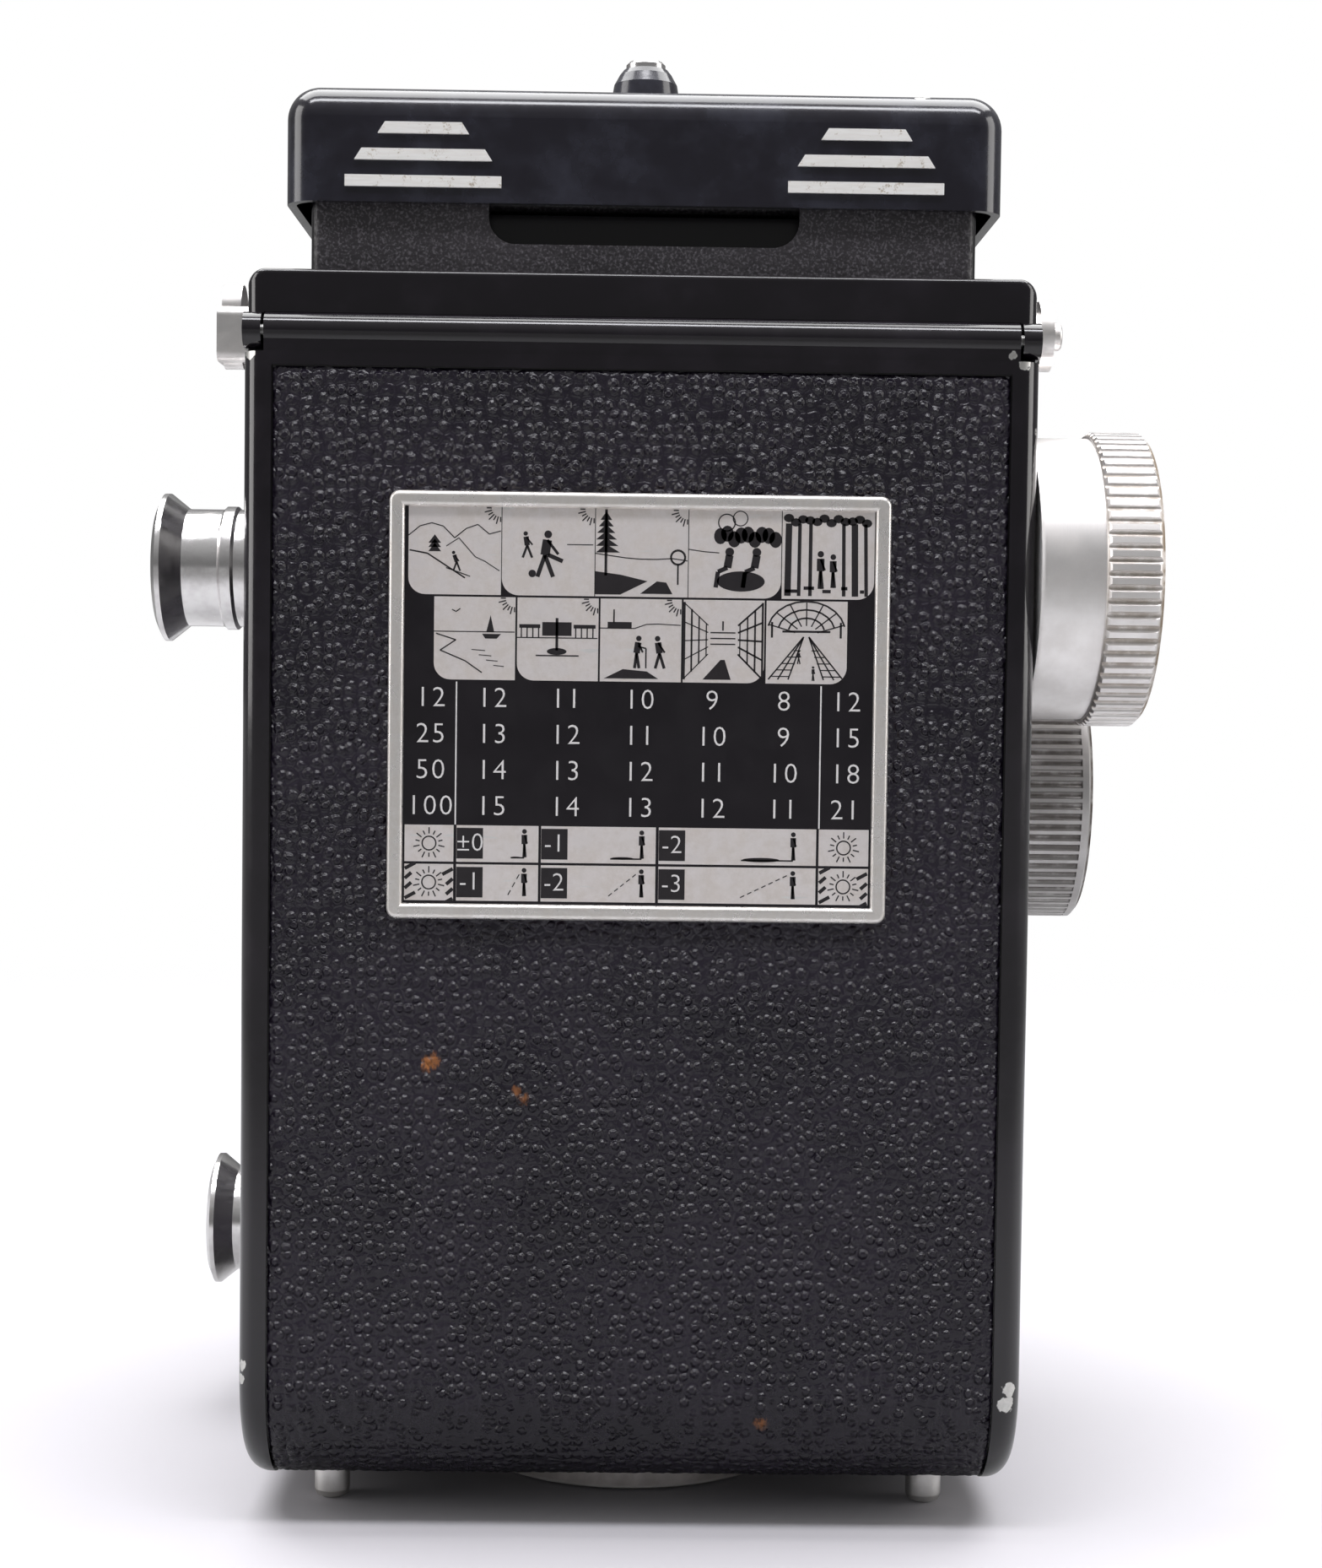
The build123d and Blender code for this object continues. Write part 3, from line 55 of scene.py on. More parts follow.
forward = Vector(
    (
        math.sin(eye_yaw) * math.cos(eye_pitch),
        math.cos(eye_yaw) * math.cos(eye_pitch),
        -math.sin(eye_pitch),
    )
)
level_right = Vector((math.cos(eye_yaw), -math.sin(eye_yaw), 0))
level_up = level_right.cross(forward)
right = level_right * math.cos(eye_roll) + level_up * math.sin(eye_roll)
up = level_up * math.cos(eye_roll) - level_right * math.sin(eye_roll)

eye = bpy.data.cameras.new("eye")
eye.lens = focal_length
eye.sensor_width = 36
eye.sensor_fit = "AUTO"
eye.clip_start = 0.01
eye_object = bpy.data.objects.new("eye", eye)
facing_forward = Matrix((right, up, -forward)).transposed().to_4x4()
eye_object.matrix_world = Matrix.Translation(eye_place) @ facing_forward
bpy.context.scene.collection.objects.link(eye_object)
bpy.context.scene.camera = eye_object
bpy.context.scene.view_settings.view_transform = "Standard"


def soft_light(name, place, aim, size, power, colour=(1, 1, 1)):
    """Rectangular softbox that faces a point."""
    lamp = bpy.data.lights.new(name, "AREA")
    lamp.shape = "RECTANGLE"
    lamp.size, lamp.size_y = size
    lamp.energy = power
    lamp.color = colour
    holder = bpy.data.objects.new(name, lamp)
    turn = (Vector(aim) - Vector(place)).to_track_quat("-Z", "Y").to_matrix().to_4x4()
    holder.matrix_world = Matrix.Translation(place) @ turn
    bpy.context.scene.collection.objects.link(holder)


soft_light("ceiling", (0.0, 0.16, 0.75), (0, 0, 0.05), (1.1, 0.5), 9.0)
soft_light("near_ceiling", (0.0, -0.3, 0.8), (0, 0, 0.08), (0.9, 0.12), 4.6, (0.96, 0.96, 1.0))
soft_light("left_window", (-0.8, -0.1, 0.35), (0, 0, 0.08), (0.4, 0.6), 2.6, (1.0, 0.98, 0.97))
soft_light("right_window", (0.8, -0.1, 0.35), (0, 0, 0.08), (0.4, 0.6), 2.4, (1.0, 0.98, 0.96))

world = bpy.data.worlds.new("studio")
bpy.context.scene.world = world
world.use_nodes = True
sky = world.node_tree
backdrop = sky.nodes["Background"]
backdrop.inputs["Color"].default_value = (1, 1, 1, 1)
room = sky.nodes.new("ShaderNodeBackground")
direction = sky.nodes.new("ShaderNodeTexCoord")
height = sky.nodes.new("ShaderNodeSeparateXYZ")
shade = sky.nodes.new("ShaderNodeMapRange")
shade.interpolation_type = "SMOOTHSTEP"
shade.inputs["From Min"].default_value = 0.0
shade.inputs["From Max"].default_value = 1.0
horizon_strength, zenith_strength = 0.19, 0.6
shade.inputs["To Min"].default_value = horizon_strength
shade.inputs["To Max"].default_value = zenith_strength
rays = sky.nodes.new("ShaderNodeLightPath")
choice = sky.nodes.new("ShaderNodeMixShader")
sky.links.new(direction.outputs["Generated"], height.inputs[0])
sky.links.new(height.outputs["Z"], shade.inputs["Value"])
sky.links.new(shade.outputs[0], room.inputs["Strength"])
sky.links.new(rays.outputs["Is Camera Ray"], choice.inputs[0])
sky.links.new(room.outputs[0], choice.inputs[1])
sky.links.new(backdrop.outputs[0], choice.inputs[2])
sky.links.new(choice.outputs[0], sky.nodes["World Output"].inputs["Surface"])


# ---------------------------------------------------------------- body casting
# Die-cast light metal, stove-enamelled in gloss black. The enamel has a faint orange
# peel and has chipped to bright metal at corners that get knocked.
class Amount:
    """A number that changes over a surface. Arithmetic on it adds Math nodes."""

    def __init__(self, finish, socket):
        self.finish = finish
        self.socket = socket

    def math(self, operation, first, second):
        node = self.finish.node("ShaderNodeMath", {"operation": operation}, {0: first, 1: second})
        return Amount(self.finish, node.outputs[0])

    def __add__(self, other):
        return self.math("ADD", self, other)

    def __radd__(self, other):
        return self.math("ADD", other, self)

    def __sub__(self, other):
        return self.math("SUBTRACT", self, other)

    def __rsub__(self, other):
        return self.math("SUBTRACT", other, self)

    def __mul__(self, other):
        return self.math("MULTIPLY", self, other)

    def __rmul__(self, other):
        return self.math("MULTIPLY", other, self)


class Finish:
    """A surface finish: one Principled shader and the pattern nodes that feed it."""

    def __init__(self, name, **shader):
        self.material = bpy.data.materials.new(name)
        self.material.use_nodes = True
        self.tree = self.material.node_tree
        self.shader = self.tree.nodes["Principled BSDF"]
        for socket, value in shader.items():
            self.shader.inputs[socket.replace("_", " ")].default_value = value
        self.place = self.node("ShaderNodeTexCoord").outputs["Object"]

    def node(self, kind, settings=None, sockets=None):
        """Adds a node: its settings first, then the values or links of its sockets."""
        node = self.tree.nodes.new(kind)
        for setting, value in (settings or {}).items():
            setattr(node, setting, value)
        for socket, value in (sockets or {}).items():
            self.feed(node.inputs[socket], value)
        return node

    def feed(self, socket, value):
        if isinstance(value, Amount):
            value = value.socket
        if isinstance(value, bpy.types.NodeSocket):
            self.tree.links.new(value, socket)
        else:
            socket.default_value = value

    def stretched(self, x, y, z):
        """Object coordinates multiplied along each axis."""
        return self.node("ShaderNodeMapping", None, {"Vector": self.place, "Scale": (x, y, z)}).outputs[0]

    def grain(self, size, detail=3.0, roughness=0.55, place=None):
        """Noise whose patches are about that many millimetres across."""
        sockets = {
            "Vector": place or self.place,
            "Scale": 1 / (size * MM),
            "Detail": detail,
            "Roughness": roughness,
        }
        return Amount(self, self.node("ShaderNodeTexNoise", None, sockets).outputs[0])

    def cells(self, size, feature="F1", place=None, randomness=1.0, **settings):
        """Cell pattern whose cells are about that many millimetres across."""
        sockets = {"Vector": place or self.place, "Scale": 1 / (size * MM), "Randomness": randomness}
        settings["feature"] = feature
        return Amount(self, self.node("ShaderNodeTexVoronoi", settings, sockets).outputs["Distance"])

    def ramp(self, amount, low, high, start=0.0, end=1.0):
        """Goes smoothly from start to end while the amount goes from low to high."""
        sockets = {"Value": amount, "From Min": low, "From Max": high, "To Min": start, "To Max": end}
        node = self.node("ShaderNodeMapRange", {"interpolation_type": "SMOOTHSTEP"}, sockets)
        return Amount(self, node.outputs[0])

    def mixed(self, share, first, second):
        """Colour between two colours."""
        node = self.node("ShaderNodeMix", {"data_type": "RGBA"}, {"Factor": share})
        for socket, colour in ((node.inputs[6], first), (node.inputs[7], second)):
            self.feed(socket, (*colour, 1) if isinstance(colour, tuple) else colour)
        return node.outputs[2]

    def along(self, axis):
        """One object coordinate, in millimetres."""
        split = self.node("ShaderNodeSeparateXYZ", None, {0: self.place})
        return Amount(self, split.outputs[axis]) * 1000

    def off_axis(self, y, z):
        """Distance in millimetres from a line that runs across the width."""
        flat = self.stretched(0, 1, 1)
        sockets = {0: flat, 1: (0, y * MM, z * MM)}
        node = self.node("ShaderNodeVectorMath", {"operation": "DISTANCE"}, sockets)
        return Amount(self, node.outputs["Value"]) * 1000

    def near(self, spot):
        """Distance in millimetres from a point."""
        sockets = {0: self.place, 1: tuple(part * MM for part in spot)}
        node = self.node("ShaderNodeVectorMath", {"operation": "DISTANCE"}, sockets)
        return Amount(self, node.outputs["Value"]) * 1000

    def colour(self, value):
        self.feed(self.shader.inputs["Base Color"], value)

    def roughness(self, value):
        self.feed(self.shader.inputs["Roughness"], value)

    def metallic(self, value):
        self.feed(self.shader.inputs["Metallic"], value)

    def relief(self, amount, depth, strength=1.0):
        """Surface relief of that many millimetres."""
        sockets = {"Height": amount, "Distance": depth * MM, "Strength": strength}
        bump = self.node("ShaderNodeBump", None, sockets)
        self.feed(self.shader.inputs["Normal"], bump.outputs[0])

    def on(self, *names):
        """Puts the finish on CAD nodes."""
        for name in names:
            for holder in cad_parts[name].material_slots:
                holder.material = self.material


def enamel(name, chips, body=(0.0055, 0.004, 0.0065), dullness=0.13, painted_sheen=(0.013, 0.01, 0.015)):
    """Gloss black stove enamel, coloured lighter in handled patches as a painted sheen. Each chip is a
    place and a radius in millimetres.
    """
    finish = Finish(name, IOR=1.5, Coat_Weight=0.35, Coat_Roughness=0.06)
    smear_and_sheen = finish.grain(9, 5, 0.65)
    handled_and_sheen = finish.ramp(smear_and_sheen, 0.42, 0.72)
    hair = finish.grain(0.8, 4, 0.6, finish.stretched(0.12, 1, 1))
    bare = None
    edge = finish.grain(0.9, 4, 0.6) * 1.5
    for spot, radius in chips:
        inside = finish.ramp(finish.near(spot) + edge, radius + 0.75, radius + 0.62)
        bare = inside if bare is None else bare.math("MAXIMUM", bare, inside)
    # Painted sheen: handled patches get a lighter, bluer colour that stands in for cloudy reflections on
    # the enamel; their roughness change is real handling.
    paint = finish.mixed(handled_and_sheen * 0.8, body, painted_sheen)
    rough = dullness + handled_and_sheen * 0.07 + finish.ramp(hair, 0.6, 0.75) * 0.08
    if bare is None:
        finish.colour(paint)
        finish.roughness(rough)
    else:
        metal = finish.mixed(finish.grain(0.5), (0.5, 0.49, 0.47), (0.85, 0.84, 0.82))
        finish.colour(finish.mixed(bare, paint, metal))
        finish.metallic(bare)
        finish.roughness(rough + bare * 0.22)
    peel = finish.grain(1.6, 2, 0.5) * 0.6 + finish.grain(0.35, 2, 0.5) * 0.15
    finish.relief(peel if bare is None else peel - bare * 1.2, 0.02, 0.6)
    return finish


casting_chips = (
    ((-38.2, -26.2, 118.9), 0.7),
    ((38.2, -26.6, 118.5), 0.6),
    ((38.2, -22.6, 60.0), 0.4),
    ((-38.2, 33.0, 14.0), 0.8),
    ((37.6, 33.2, 20.0), 0.6),
    ((30.4, 44.4, 113.5), 0.6),
    ((-30.3, 44.4, 60.0), 0.5),
)
casting_enamel = enamel("casting_enamel", casting_chips)
casting_enamel.on("body_casting", "lens_board")

# ---------------------------------------------------------------- leathers
# Black goat-grain leather, glued into shallow seats of the door and of the side walls.
# The grain is pressed: small pebbles with creases between, shinier on their tops.
leather_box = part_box("door_leather")
leather_half = leather_box[1].x
leather_top = leather_box[1].z
leather_front = leather_box[1].y
bend_radius = 12.0 * MM
sheet_step = 0.335 * MM
pebble = 1.02 * MM
sheet_low, sheet_rear = leather_box[0].z, leather_box[0].y
straight = leather_top - (sheet_low + bend_radius)
bend = bend_radius * math.pi / 2
run_under = leather_front - (sheet_rear + bend_radius)
sheet_length = straight + bend + run_under


def grain_height(place):
    """Height of the pebble grain from 0 in the creases to 1 on the pebbles."""
    warp = noise.noise_vector(place / (3.2 * MM)) * 0.35
    at = place / pebble + warp
    at.z *= 1.15
    distances = noise.voronoi(at)[0]
    crown = min(1.0, (distances[1] - distances[0]) / 0.42)
    slope = crown * crown * (3 - 2 * crown)
    broad = 0.5 + 0.5 * noise.noise(place / (6.0 * MM))
    tilt = 0.5 + 0.5 * noise.noise(place / (0.75 * MM) + Vector((7, 3, 5)))
    return slope * (0.5 + 0.28 * broad + 0.3 * tilt)


def on_door(across, down, out):
    """Point on the sheet, that far down from its top edge and out from its surface."""
    if down < straight:
        return Vector((across, sheet_rear - out, leather_top - down))
    if down < straight + bend:
        turn = (down - straight) / bend_radius
        reach = bend_radius + out
        return Vector(
            (
                across,
                sheet_rear + bend_radius - reach * math.cos(turn),
                sheet_low + bend_radius - reach * math.sin(turn),
            )
        )
    return Vector((across, sheet_rear + bend_radius + down - straight - bend, sheet_low - out))


def new_piece(name, shape, finish, body, smooth=True):
    """Makes a bmesh an object that rides on a CAD body."""
    mesh = bpy.data.meshes.new(name)
    shape.to_mesh(mesh)
    shape.free()
    mesh.materials.append(finish.material)
    for face in mesh.polygons:
        face.use_smooth = smooth
    piece = bpy.data.objects.new(name, mesh)
    bpy.context.scene.collection.objects.link(piece)
    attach(piece, body)
    return piece


def leather(name, crease_depth):
    """Black leather with a fine raised grain, worn brown where the dye has rubbed off."""
    finish = Finish(name, Specular_IOR_Level=0.46)
    broad = finish.grain(14, 4, 0.6)
    fine = finish.grain(0.28, 4, 0.6)
    dye = finish.mixed(finish.ramp(broad, 0.3, 0.7), (0.0085, 0.0065, 0.0125), (0.0155, 0.0115, 0.0215))
    scuffs = (
        ((-19.9, -31.0, 46.5), 0.4, 0.9),
        ((-19.4, -31.0, 46.9), 0.3, 0.7),
        ((-11.3, -31.0, 44.0), 0.2, 0.6),
        ((-10.6, -31.0, 43.2), 0.2, 0.6),
        ((12.9, -30.4, 11.4), 0.4, 0.6),
    )
    ragged = finish.grain(0.45, 4, 0.7, finish.stretched(1, 1, 0.45)) * 1.8
    rubbed = None
    for spot, radius, depth in scuffs:
        patch = finish.ramp(finish.near(spot) + ragged, radius + 1.35, radius + 0.75) * depth
        rubbed = patch if rubbed is None else rubbed.math("MAXIMUM", rubbed, patch)
    finish.colour(finish.mixed(rubbed, dye, (0.42, 0.15, 0.035)))
    finish.roughness(finish.ramp(broad, 0.3, 0.7, 0.2, 0.27) + fine * 0.08 + rubbed * 0.35)
    grain_pitch, grain_disorder, grain_depth = 1.12, 0.75, 0.26
    uneven = finish.grain(1.7, 2, 0.5) * 0.3
    crown = finish.ramp(finish.cells(grain_pitch, randomness=grain_disorder) + uneven, 0.66, 0.34)
    between = finish.cells(grain_pitch, "DISTANCE_TO_EDGE", randomness=grain_disorder)
    crease = finish.ramp(between, 0.0, 0.2)
    finish.relief(crown + crease * crease_depth + fine * 0.12, grain_depth)
    return finish


door_leather = leather("door_leather", 0.25)
side_leather = leather("side_leather", 0.6)
side_leather.on("side_leathers")

rows = round(sheet_length / sheet_step)
columns = round(2 * leather_half / sheet_step)
sheet = bmesh.new()
bmesh.ops.create_grid(sheet, x_segments=columns, y_segments=rows, size=0.5)
rim_width = 0.7 * MM
for corner in sheet.verts:
    across = corner.co.x * 2 * leather_half
    down = (0.5 - corner.co.y) * sheet_length
    from_rim = min(leather_half - abs(across), down, sheet_length - down)
    pressed = 1 - min(1.0, max(0.0, from_rim / rim_width))
    lift = -0.16 * MM + 0.16 * MM * grain_height(on_door(across, down, 0)) - 0.2 * MM * pressed**2
    corner.co = on_door(across, down, lift)
rim = [edge for edge in sheet.edges if edge.is_boundary]
skirt = bmesh.ops.extrude_edge_only(sheet, edges=rim)["geom"]
for corner in (part for part in skirt if isinstance(part, bmesh.types.BMVert)):
    centre = Vector((corner.co.x, sheet_rear + bend_radius, max(corner.co.z, sheet_low + bend_radius)))
    if corner.co.y > centre.y:
        centre.y = corner.co.y
    corner.co += (centre - corner.co).normalized() * 0.2 * MM
bmesh.ops.recalc_face_normals(sheet, faces=sheet.faces[:])
door_sheet = new_piece("door_leather_grain", sheet, door_leather, "back_door")
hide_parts("door_leather")

# ---------------------------------------------------------------- back door
# Pressed sheet with rounded edges, enamelled like the casting. It is chipped at both
# lower edges and at the ends of its hinge roll.
door_chips = (
    ((-38.0, -30.0, 16.6), 0.7),
    ((-38.0, -29.8, 15.3), 0.6),
    ((37.0, -30.6, 15.0), 0.85),
    ((36.8, -30.7, 13.6), 0.95),
    ((-37.6, -30.2, 114.6), 0.8),
    ((36.6, -30.9, 114.4), 0.6),
    ((35.4, -30.8, 115.4), 0.45),
    ((37.9, -29.8, 108.0), 0.3),
)
door_enamel = enamel("door_enamel", door_chips)
door_enamel.on("door_shell")

# ---------------------------------------------------------------- exposure table
# Printed metal plate held under a beaded frame. Silver pictures of subjects stand over
# rows of exposure numbers, and two rows below give the correction for the light.
plate_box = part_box("table_plate")
plate_middle = (plate_box[0].z + plate_box[1].z) / 2
plate_face = plate_box[0].y
silver_layer, drawing_layer = 0.02 * MM, 0.035 * MM

table_ground = Finish("table_ground", Metallic=0.2)
table_ground.colour(
    table_ground.mixed(table_ground.grain(5, 5, 0.6), (0.006, 0.0045, 0.007), (0.011, 0.008, 0.012))
)
table_ground.roughness(table_ground.ramp(table_ground.grain(4, 5, 0.6), 0.3, 0.7, 0.3, 0.45))
table_ground.on("table_plate")

table_silver = Finish("table_silver", Metallic=0.6)
patina = table_silver.grain(2.6, 6, 0.65)
aged = table_silver.mixed(
    table_silver.ramp(patina, 0.35, 0.68), (0.94, 0.885, 0.875), (0.80, 0.74, 0.705)
)
scratch = table_silver.grain(1.3, 2, 0.5, table_silver.stretched(0.25, 1, 1.6))
table_silver.colour(table_silver.mixed(table_silver.ramp(scratch, 0.68, 0.74), aged, (0.85, 0.83, 0.82)))
table_silver.roughness(table_silver.ramp(patina, 0.3, 0.7, 0.38, 0.55))
table_silver.relief(table_silver.grain(0.25, 3, 0.5), 0.012, 0.6)

table_ink = Finish("table_ink", Roughness=0.42)
table_ink.colour(table_ink.mixed(table_ink.grain(1.5), (0.010, 0.008, 0.010), (0.020, 0.016, 0.019)))

table_white = Finish("table_white", Roughness=0.5)
table_white.colour(table_white.mixed(table_white.grain(1.2), (0.88, 0.86, 0.86), (0.68, 0.66, 0.66)))


class Print:
    """Flat printing on the table plate, in millimetres from the middle of the plate."""

    def __init__(self):
        self.shape = bmesh.new()

    def patch(self, *points):
        self.shape.faces.new([self.shape.verts.new((x, y, 0)) for x, y in points])

    def line(self, *points, width=0.13):
        for start, end in zip(points, points[1:]):
            start, end = Vector(start), Vector(end)
            side = (end - start).orthogonal().normalized() * width / 2
            self.patch(start - side, end - side, end + side, start + side)

    def dashes(self, start, end, count, width=0.1):
        start, end = Vector(start), Vector(end)
        for step in range(count):
            first, last = start.lerp(end, step / count), start.lerp(end, (step + 0.6) / count)
            self.line(first, last, width=width)

    def disc(self, x, y, radius, squash=1.0, corners=20):
        where = Matrix.Translation((x, y, 0)) @ Matrix.Diagonal((1, squash, 1, 1))
        bmesh.ops.create_circle(self.shape, cap_ends=True, segments=corners, radius=radius, matrix=where)

    def ring(self, x, y, radius, width=0.13, corners=24):
        turns = [math.tau * step / corners for step in range(corners + 1)]
        self.line(*[(x + radius * math.cos(t), y + radius * math.sin(t)) for t in turns], width=width)

    def card(self, x, y, radius=0.0, rounded=(False, False)):
        """Rectangle whose lower left and lower right corners may be rounded."""
        points = [(x[0], y[1])]
        for at_right, round_it in ((False, rounded[0]), (True, rounded[1])):
            if not round_it:
                points.append((x[at_right], y[0]))
                continue
            centre = x[1] - radius if at_right else x[0] + radius
            for step in range(9):
                turn = math.radians((270 if at_right else 180) + 90 * step / 8)
                points.append((centre + radius * math.cos(turn), y[0] + radius + radius * math.sin(turn)))
        self.patch(*points, (x[1], y[1]))

    def sun(self, x, y, radius, rays, first=0, last=360, reach=1.0):
        for ray in range(rays):
            turn = math.radians(first + (last - first) * (ray + 0.5) / rays)
            away = Vector((math.cos(turn), math.sin(turn)))
            start = Vector((x, y)) + away * radius * 1.35
            self.line(start, start + away * radius * reach * (0.9 if ray % 2 else 0.6), width=0.12)

    def person(self, x, y, tall, stride=0.0, lean=0.0):
        """Plain standing sign figure with its feet at a point."""
        hip, neck = Vector((x, y + tall * 0.47)), Vector((x + lean * tall, y + tall * 0.8))
        self.disc(neck.x + lean * tall * 0.3, neck.y + tall * 0.12, tall * 0.085, corners=12)
        self.line(hip, neck, width=tall * 0.2)
        for foot in (x - stride * tall, x + (stride + 0.02) * tall):
            self.line(hip, (foot, y), width=tall * 0.09)
        self.line(neck, (neck.x + (stride + 0.08) * tall, hip.y + tall * 0.02), width=tall * 0.06)

    def hills(self, x, y, heights, width=0.12):
        """Line of low hills from one side to the other."""
        step = (x[1] - x[0]) / (len(heights) - 1)
        self.line(
            *[(x[0] + step * count, y + height) for count, height in enumerate(heights)],
            width=width,
        )

    def finished(self, name, lift, thickness, finish):
        """Gives the print its thickness and lays it on the plate."""
        self.shape.normal_update()
        turned = [face for face in self.shape.faces if face.normal.z < 0]
        bmesh.ops.reverse_faces(self.shape, faces=turned)
        self.shape.normal_update()
        bmesh.ops.solidify(self.shape, geom=self.shape.faces[:], thickness=thickness / MM)
        low = min(corner.co.z for corner in self.shape.verts)
        for corner in self.shape.verts:
            x, y, z = corner.co * MM
            corner.co = (x, plate_face - lift - (z - low * MM), plate_middle + y)
        bmesh.ops.recalc_face_normals(self.shape, faces=self.shape.faces[:])
        return new_piece(name, self.shape, finish, "back_door", smooth=False)


upper_cards = [(-22.15 + 8.93 * count, -13.30 + 8.93 * count) for count in range(5)]
lower_cards = [(-19.65 + 7.95 * count, -11.88 + 7.95 * count) for count in range(5)]
upper_rows, lower_rows = (10.62, 19.0), (2.50, 10.42)
silver = Print()
for count, card in enumerate(upper_cards):
    silver.card(card, upper_rows, 1.6, (count < 2, count > 2))
for count, card in enumerate(lower_cards):
    silver.card(card, lower_rows, 1.6, (count < 2, count > 2))
light_rows = ((-14.98, -11.46), (-18.72, -15.22))
shadow_cards = ((-17.32, -9.45), (-9.2, 1.82), (2.1, 17.25))
for row in light_rows:
    for card in ((-22.3, -17.6), (17.5, 22.3), *shadow_cards):
        silver.card(card, row)
silver.finished("table_silver_print", 0, silver_layer, table_silver)

drawing = Print()
# snow slope with mountains
x, y = upper_cards[0][0], upper_rows[0]
drawing.hills((x, x + 8.8), y + 5.2, (0.4, 1.3, 1.6, 1.3, 0.2, 1.1, 1.5, 0.6, 0.9), 0.1)
drawing.line((x + 0.1, y + 4.2), (x + 1.8, y + 3.9), (x + 5.4, y + 1.6), width=0.14)
drawing.line(
    (x + 3.6, y + 4.6), (x + 4.8, y + 5.4), (x + 6.4, y + 3.6), (x + 7.3, y + 3.2),
    (x + 8.7, y + 2.3), width=0.09,
)
drawing.person(x + 4.6, y + 2.25, 1.9, 0.16, -0.12)
drawing.line((x + 3.6, y + 2.55), (x + 5.9, y + 1.75), width=0.1)
for step in range(3):
    drawing.patch(
        (x + 1.9, y + 4.1 + step * 0.4), (x + 3.1, y + 4.1 + step * 0.4),
        (x + 2.5, y + 4.9 + step * 0.4),
    )
# ball players
x = upper_cards[1][0]
drawing.person(x + 4.1, y + 1.8, 4.4, 0.16, 0.05)
drawing.line((x + 4.4, y + 3.9), (x + 5.8, y + 3.3), width=0.4)
drawing.person(x + 2.4, y + 3.6, 2.5, 0.17, -0.05)
drawing.disc(x + 2.9, y + 2.1, 0.36)
drawing.line((x + 6.2, y + 4.9), (x + 8.7, y + 4.9), width=0.09)
# open country with a track
x = upper_cards[2][0]
drawing.line((x + 1.0, y + 2.0), (x + 1.0, y + 8.3), width=0.26)
for step in range(6):
    drop, reach = step * 0.62, 0.55 + step * 0.16
    drawing.patch(
        (x + 1.0 - min(reach, 0.95), y + 7.3 - drop), (x + 1.0 + reach, y + 7.3 - drop),
        (x + 1.0, y + 8.1 - drop),
    )
drawing.hills((x, x + 8.8), y + 3.5, (0.6, 0.4, 0.2, 0.1, 0.1, 0.2, 0.0), 0.1)
drawing.patch((x, y + 0.2), (x + 2.4, y + 0.2), (x + 5.0, y + 1.5), (x + 2.4, y + 2.1), (x, y + 2.4))
drawing.patch((x + 4.3, y + 0.3), (x + 7.4, y + 0.3), (x + 6.8, y + 1.4), (x + 5.9, y + 1.5))
drawing.line((x + 7.9, y + 1.2), (x + 7.9, y + 3.2), width=0.16)
drawing.ring(x + 7.9, y + 3.8, 0.68, 0.2)
# figures resting under trees
x = upper_cards[3][0]
for step in range(9):
    drawing.disc(x + 3.0 + step * 0.66, y + 5.9 + 0.3 * math.sin(step * 2.2), 0.62, 1.25, 14)
drawing.ring(x + 3.6, y + 7.2, 0.8, 0.12)
drawing.ring(x + 4.9, y + 7.6, 0.7, 0.1)
drawing.hills((x, x + 2.9), y + 4.3, (0.3, 0.1, 0.0), 0.09)
drawing.disc(x + 5.0, y + 1.6, 2.3, 0.42, 32)
for away in (0.0, 2.6):
    drawing.disc(x + 3.9 + away, y + 4.4, 0.42)
    drawing.line((x + 3.9 + away, y + 4.1), (x + 3.7 + away, y + 2.9), width=0.75)
    drawing.line(
        (x + 3.7 + away, y + 2.9), (x + 2.8 + away, y + 2.5), (x + 2.6 + away, y + 1.0),
        width=0.42,
    )
# dense forest
x = upper_cards[4][0]
for step in range(8):
    wide = 0.34 if step % 3 else 0.62
    if step not in (3, 4):
        drawing.line((x + 0.55 + step * 1.08, y + 0.3), (x + 0.62 + step * 1.05, y + 7.2), width=wide)
for step in range(12):
    drawing.disc(x + 0.6 + step * 0.68, y + 7.5 + 0.22 * math.cos(step * 2.6), 0.5, 0.8, 12)
for step in range(5):
    drawing.line(
        (x + 0.3 + step * 1.8, y + 0.75 + 0.3 * (step % 2)),
        (x + 1.5 + step * 1.6, y + 0.75 + 0.3 * (step % 2)), width=0.32,
    )
drawing.person(x + 3.7, y + 1.0, 3.6, 0.03)
drawing.person(x + 4.9, y + 1.1, 3.2, 0.03)
# sea with a sailing boat
x, y = lower_cards[0][0], lower_rows[0]
drawing.line((x, y + 4.6), (x + 7.7, y + 4.6), width=0.09)
drawing.patch((x + 5.0, y + 4.6), (x + 5.75, y + 4.6), (x + 5.4, y + 6.2))
drawing.patch((x + 4.6, y + 4.4), (x + 6.4, y + 4.4), (x + 6.0, y + 3.95), (x + 4.9, y + 3.95))
drawing.line(
    (x + 0.2, y + 4.4), (x + 2.1, y + 3.8), (x + 1.2, y + 3.2), (x + 0.6, y + 2.8),
    (x + 3.0, y + 1.8), (x + 4.6, y + 0.7), width=0.12,
)
for step in range(4):
    drawing.line(
        (x + 3.6 + step * 0.7, y + 2.9 - step * 0.5), (x + 4.9 + step * 0.6, y + 2.8 - step * 0.5),
        width=0.08,
    )
drawing.line((x + 1.7, y + 6.7), (x + 2.1, y + 6.5), (x + 2.5, y + 6.8), width=0.1)
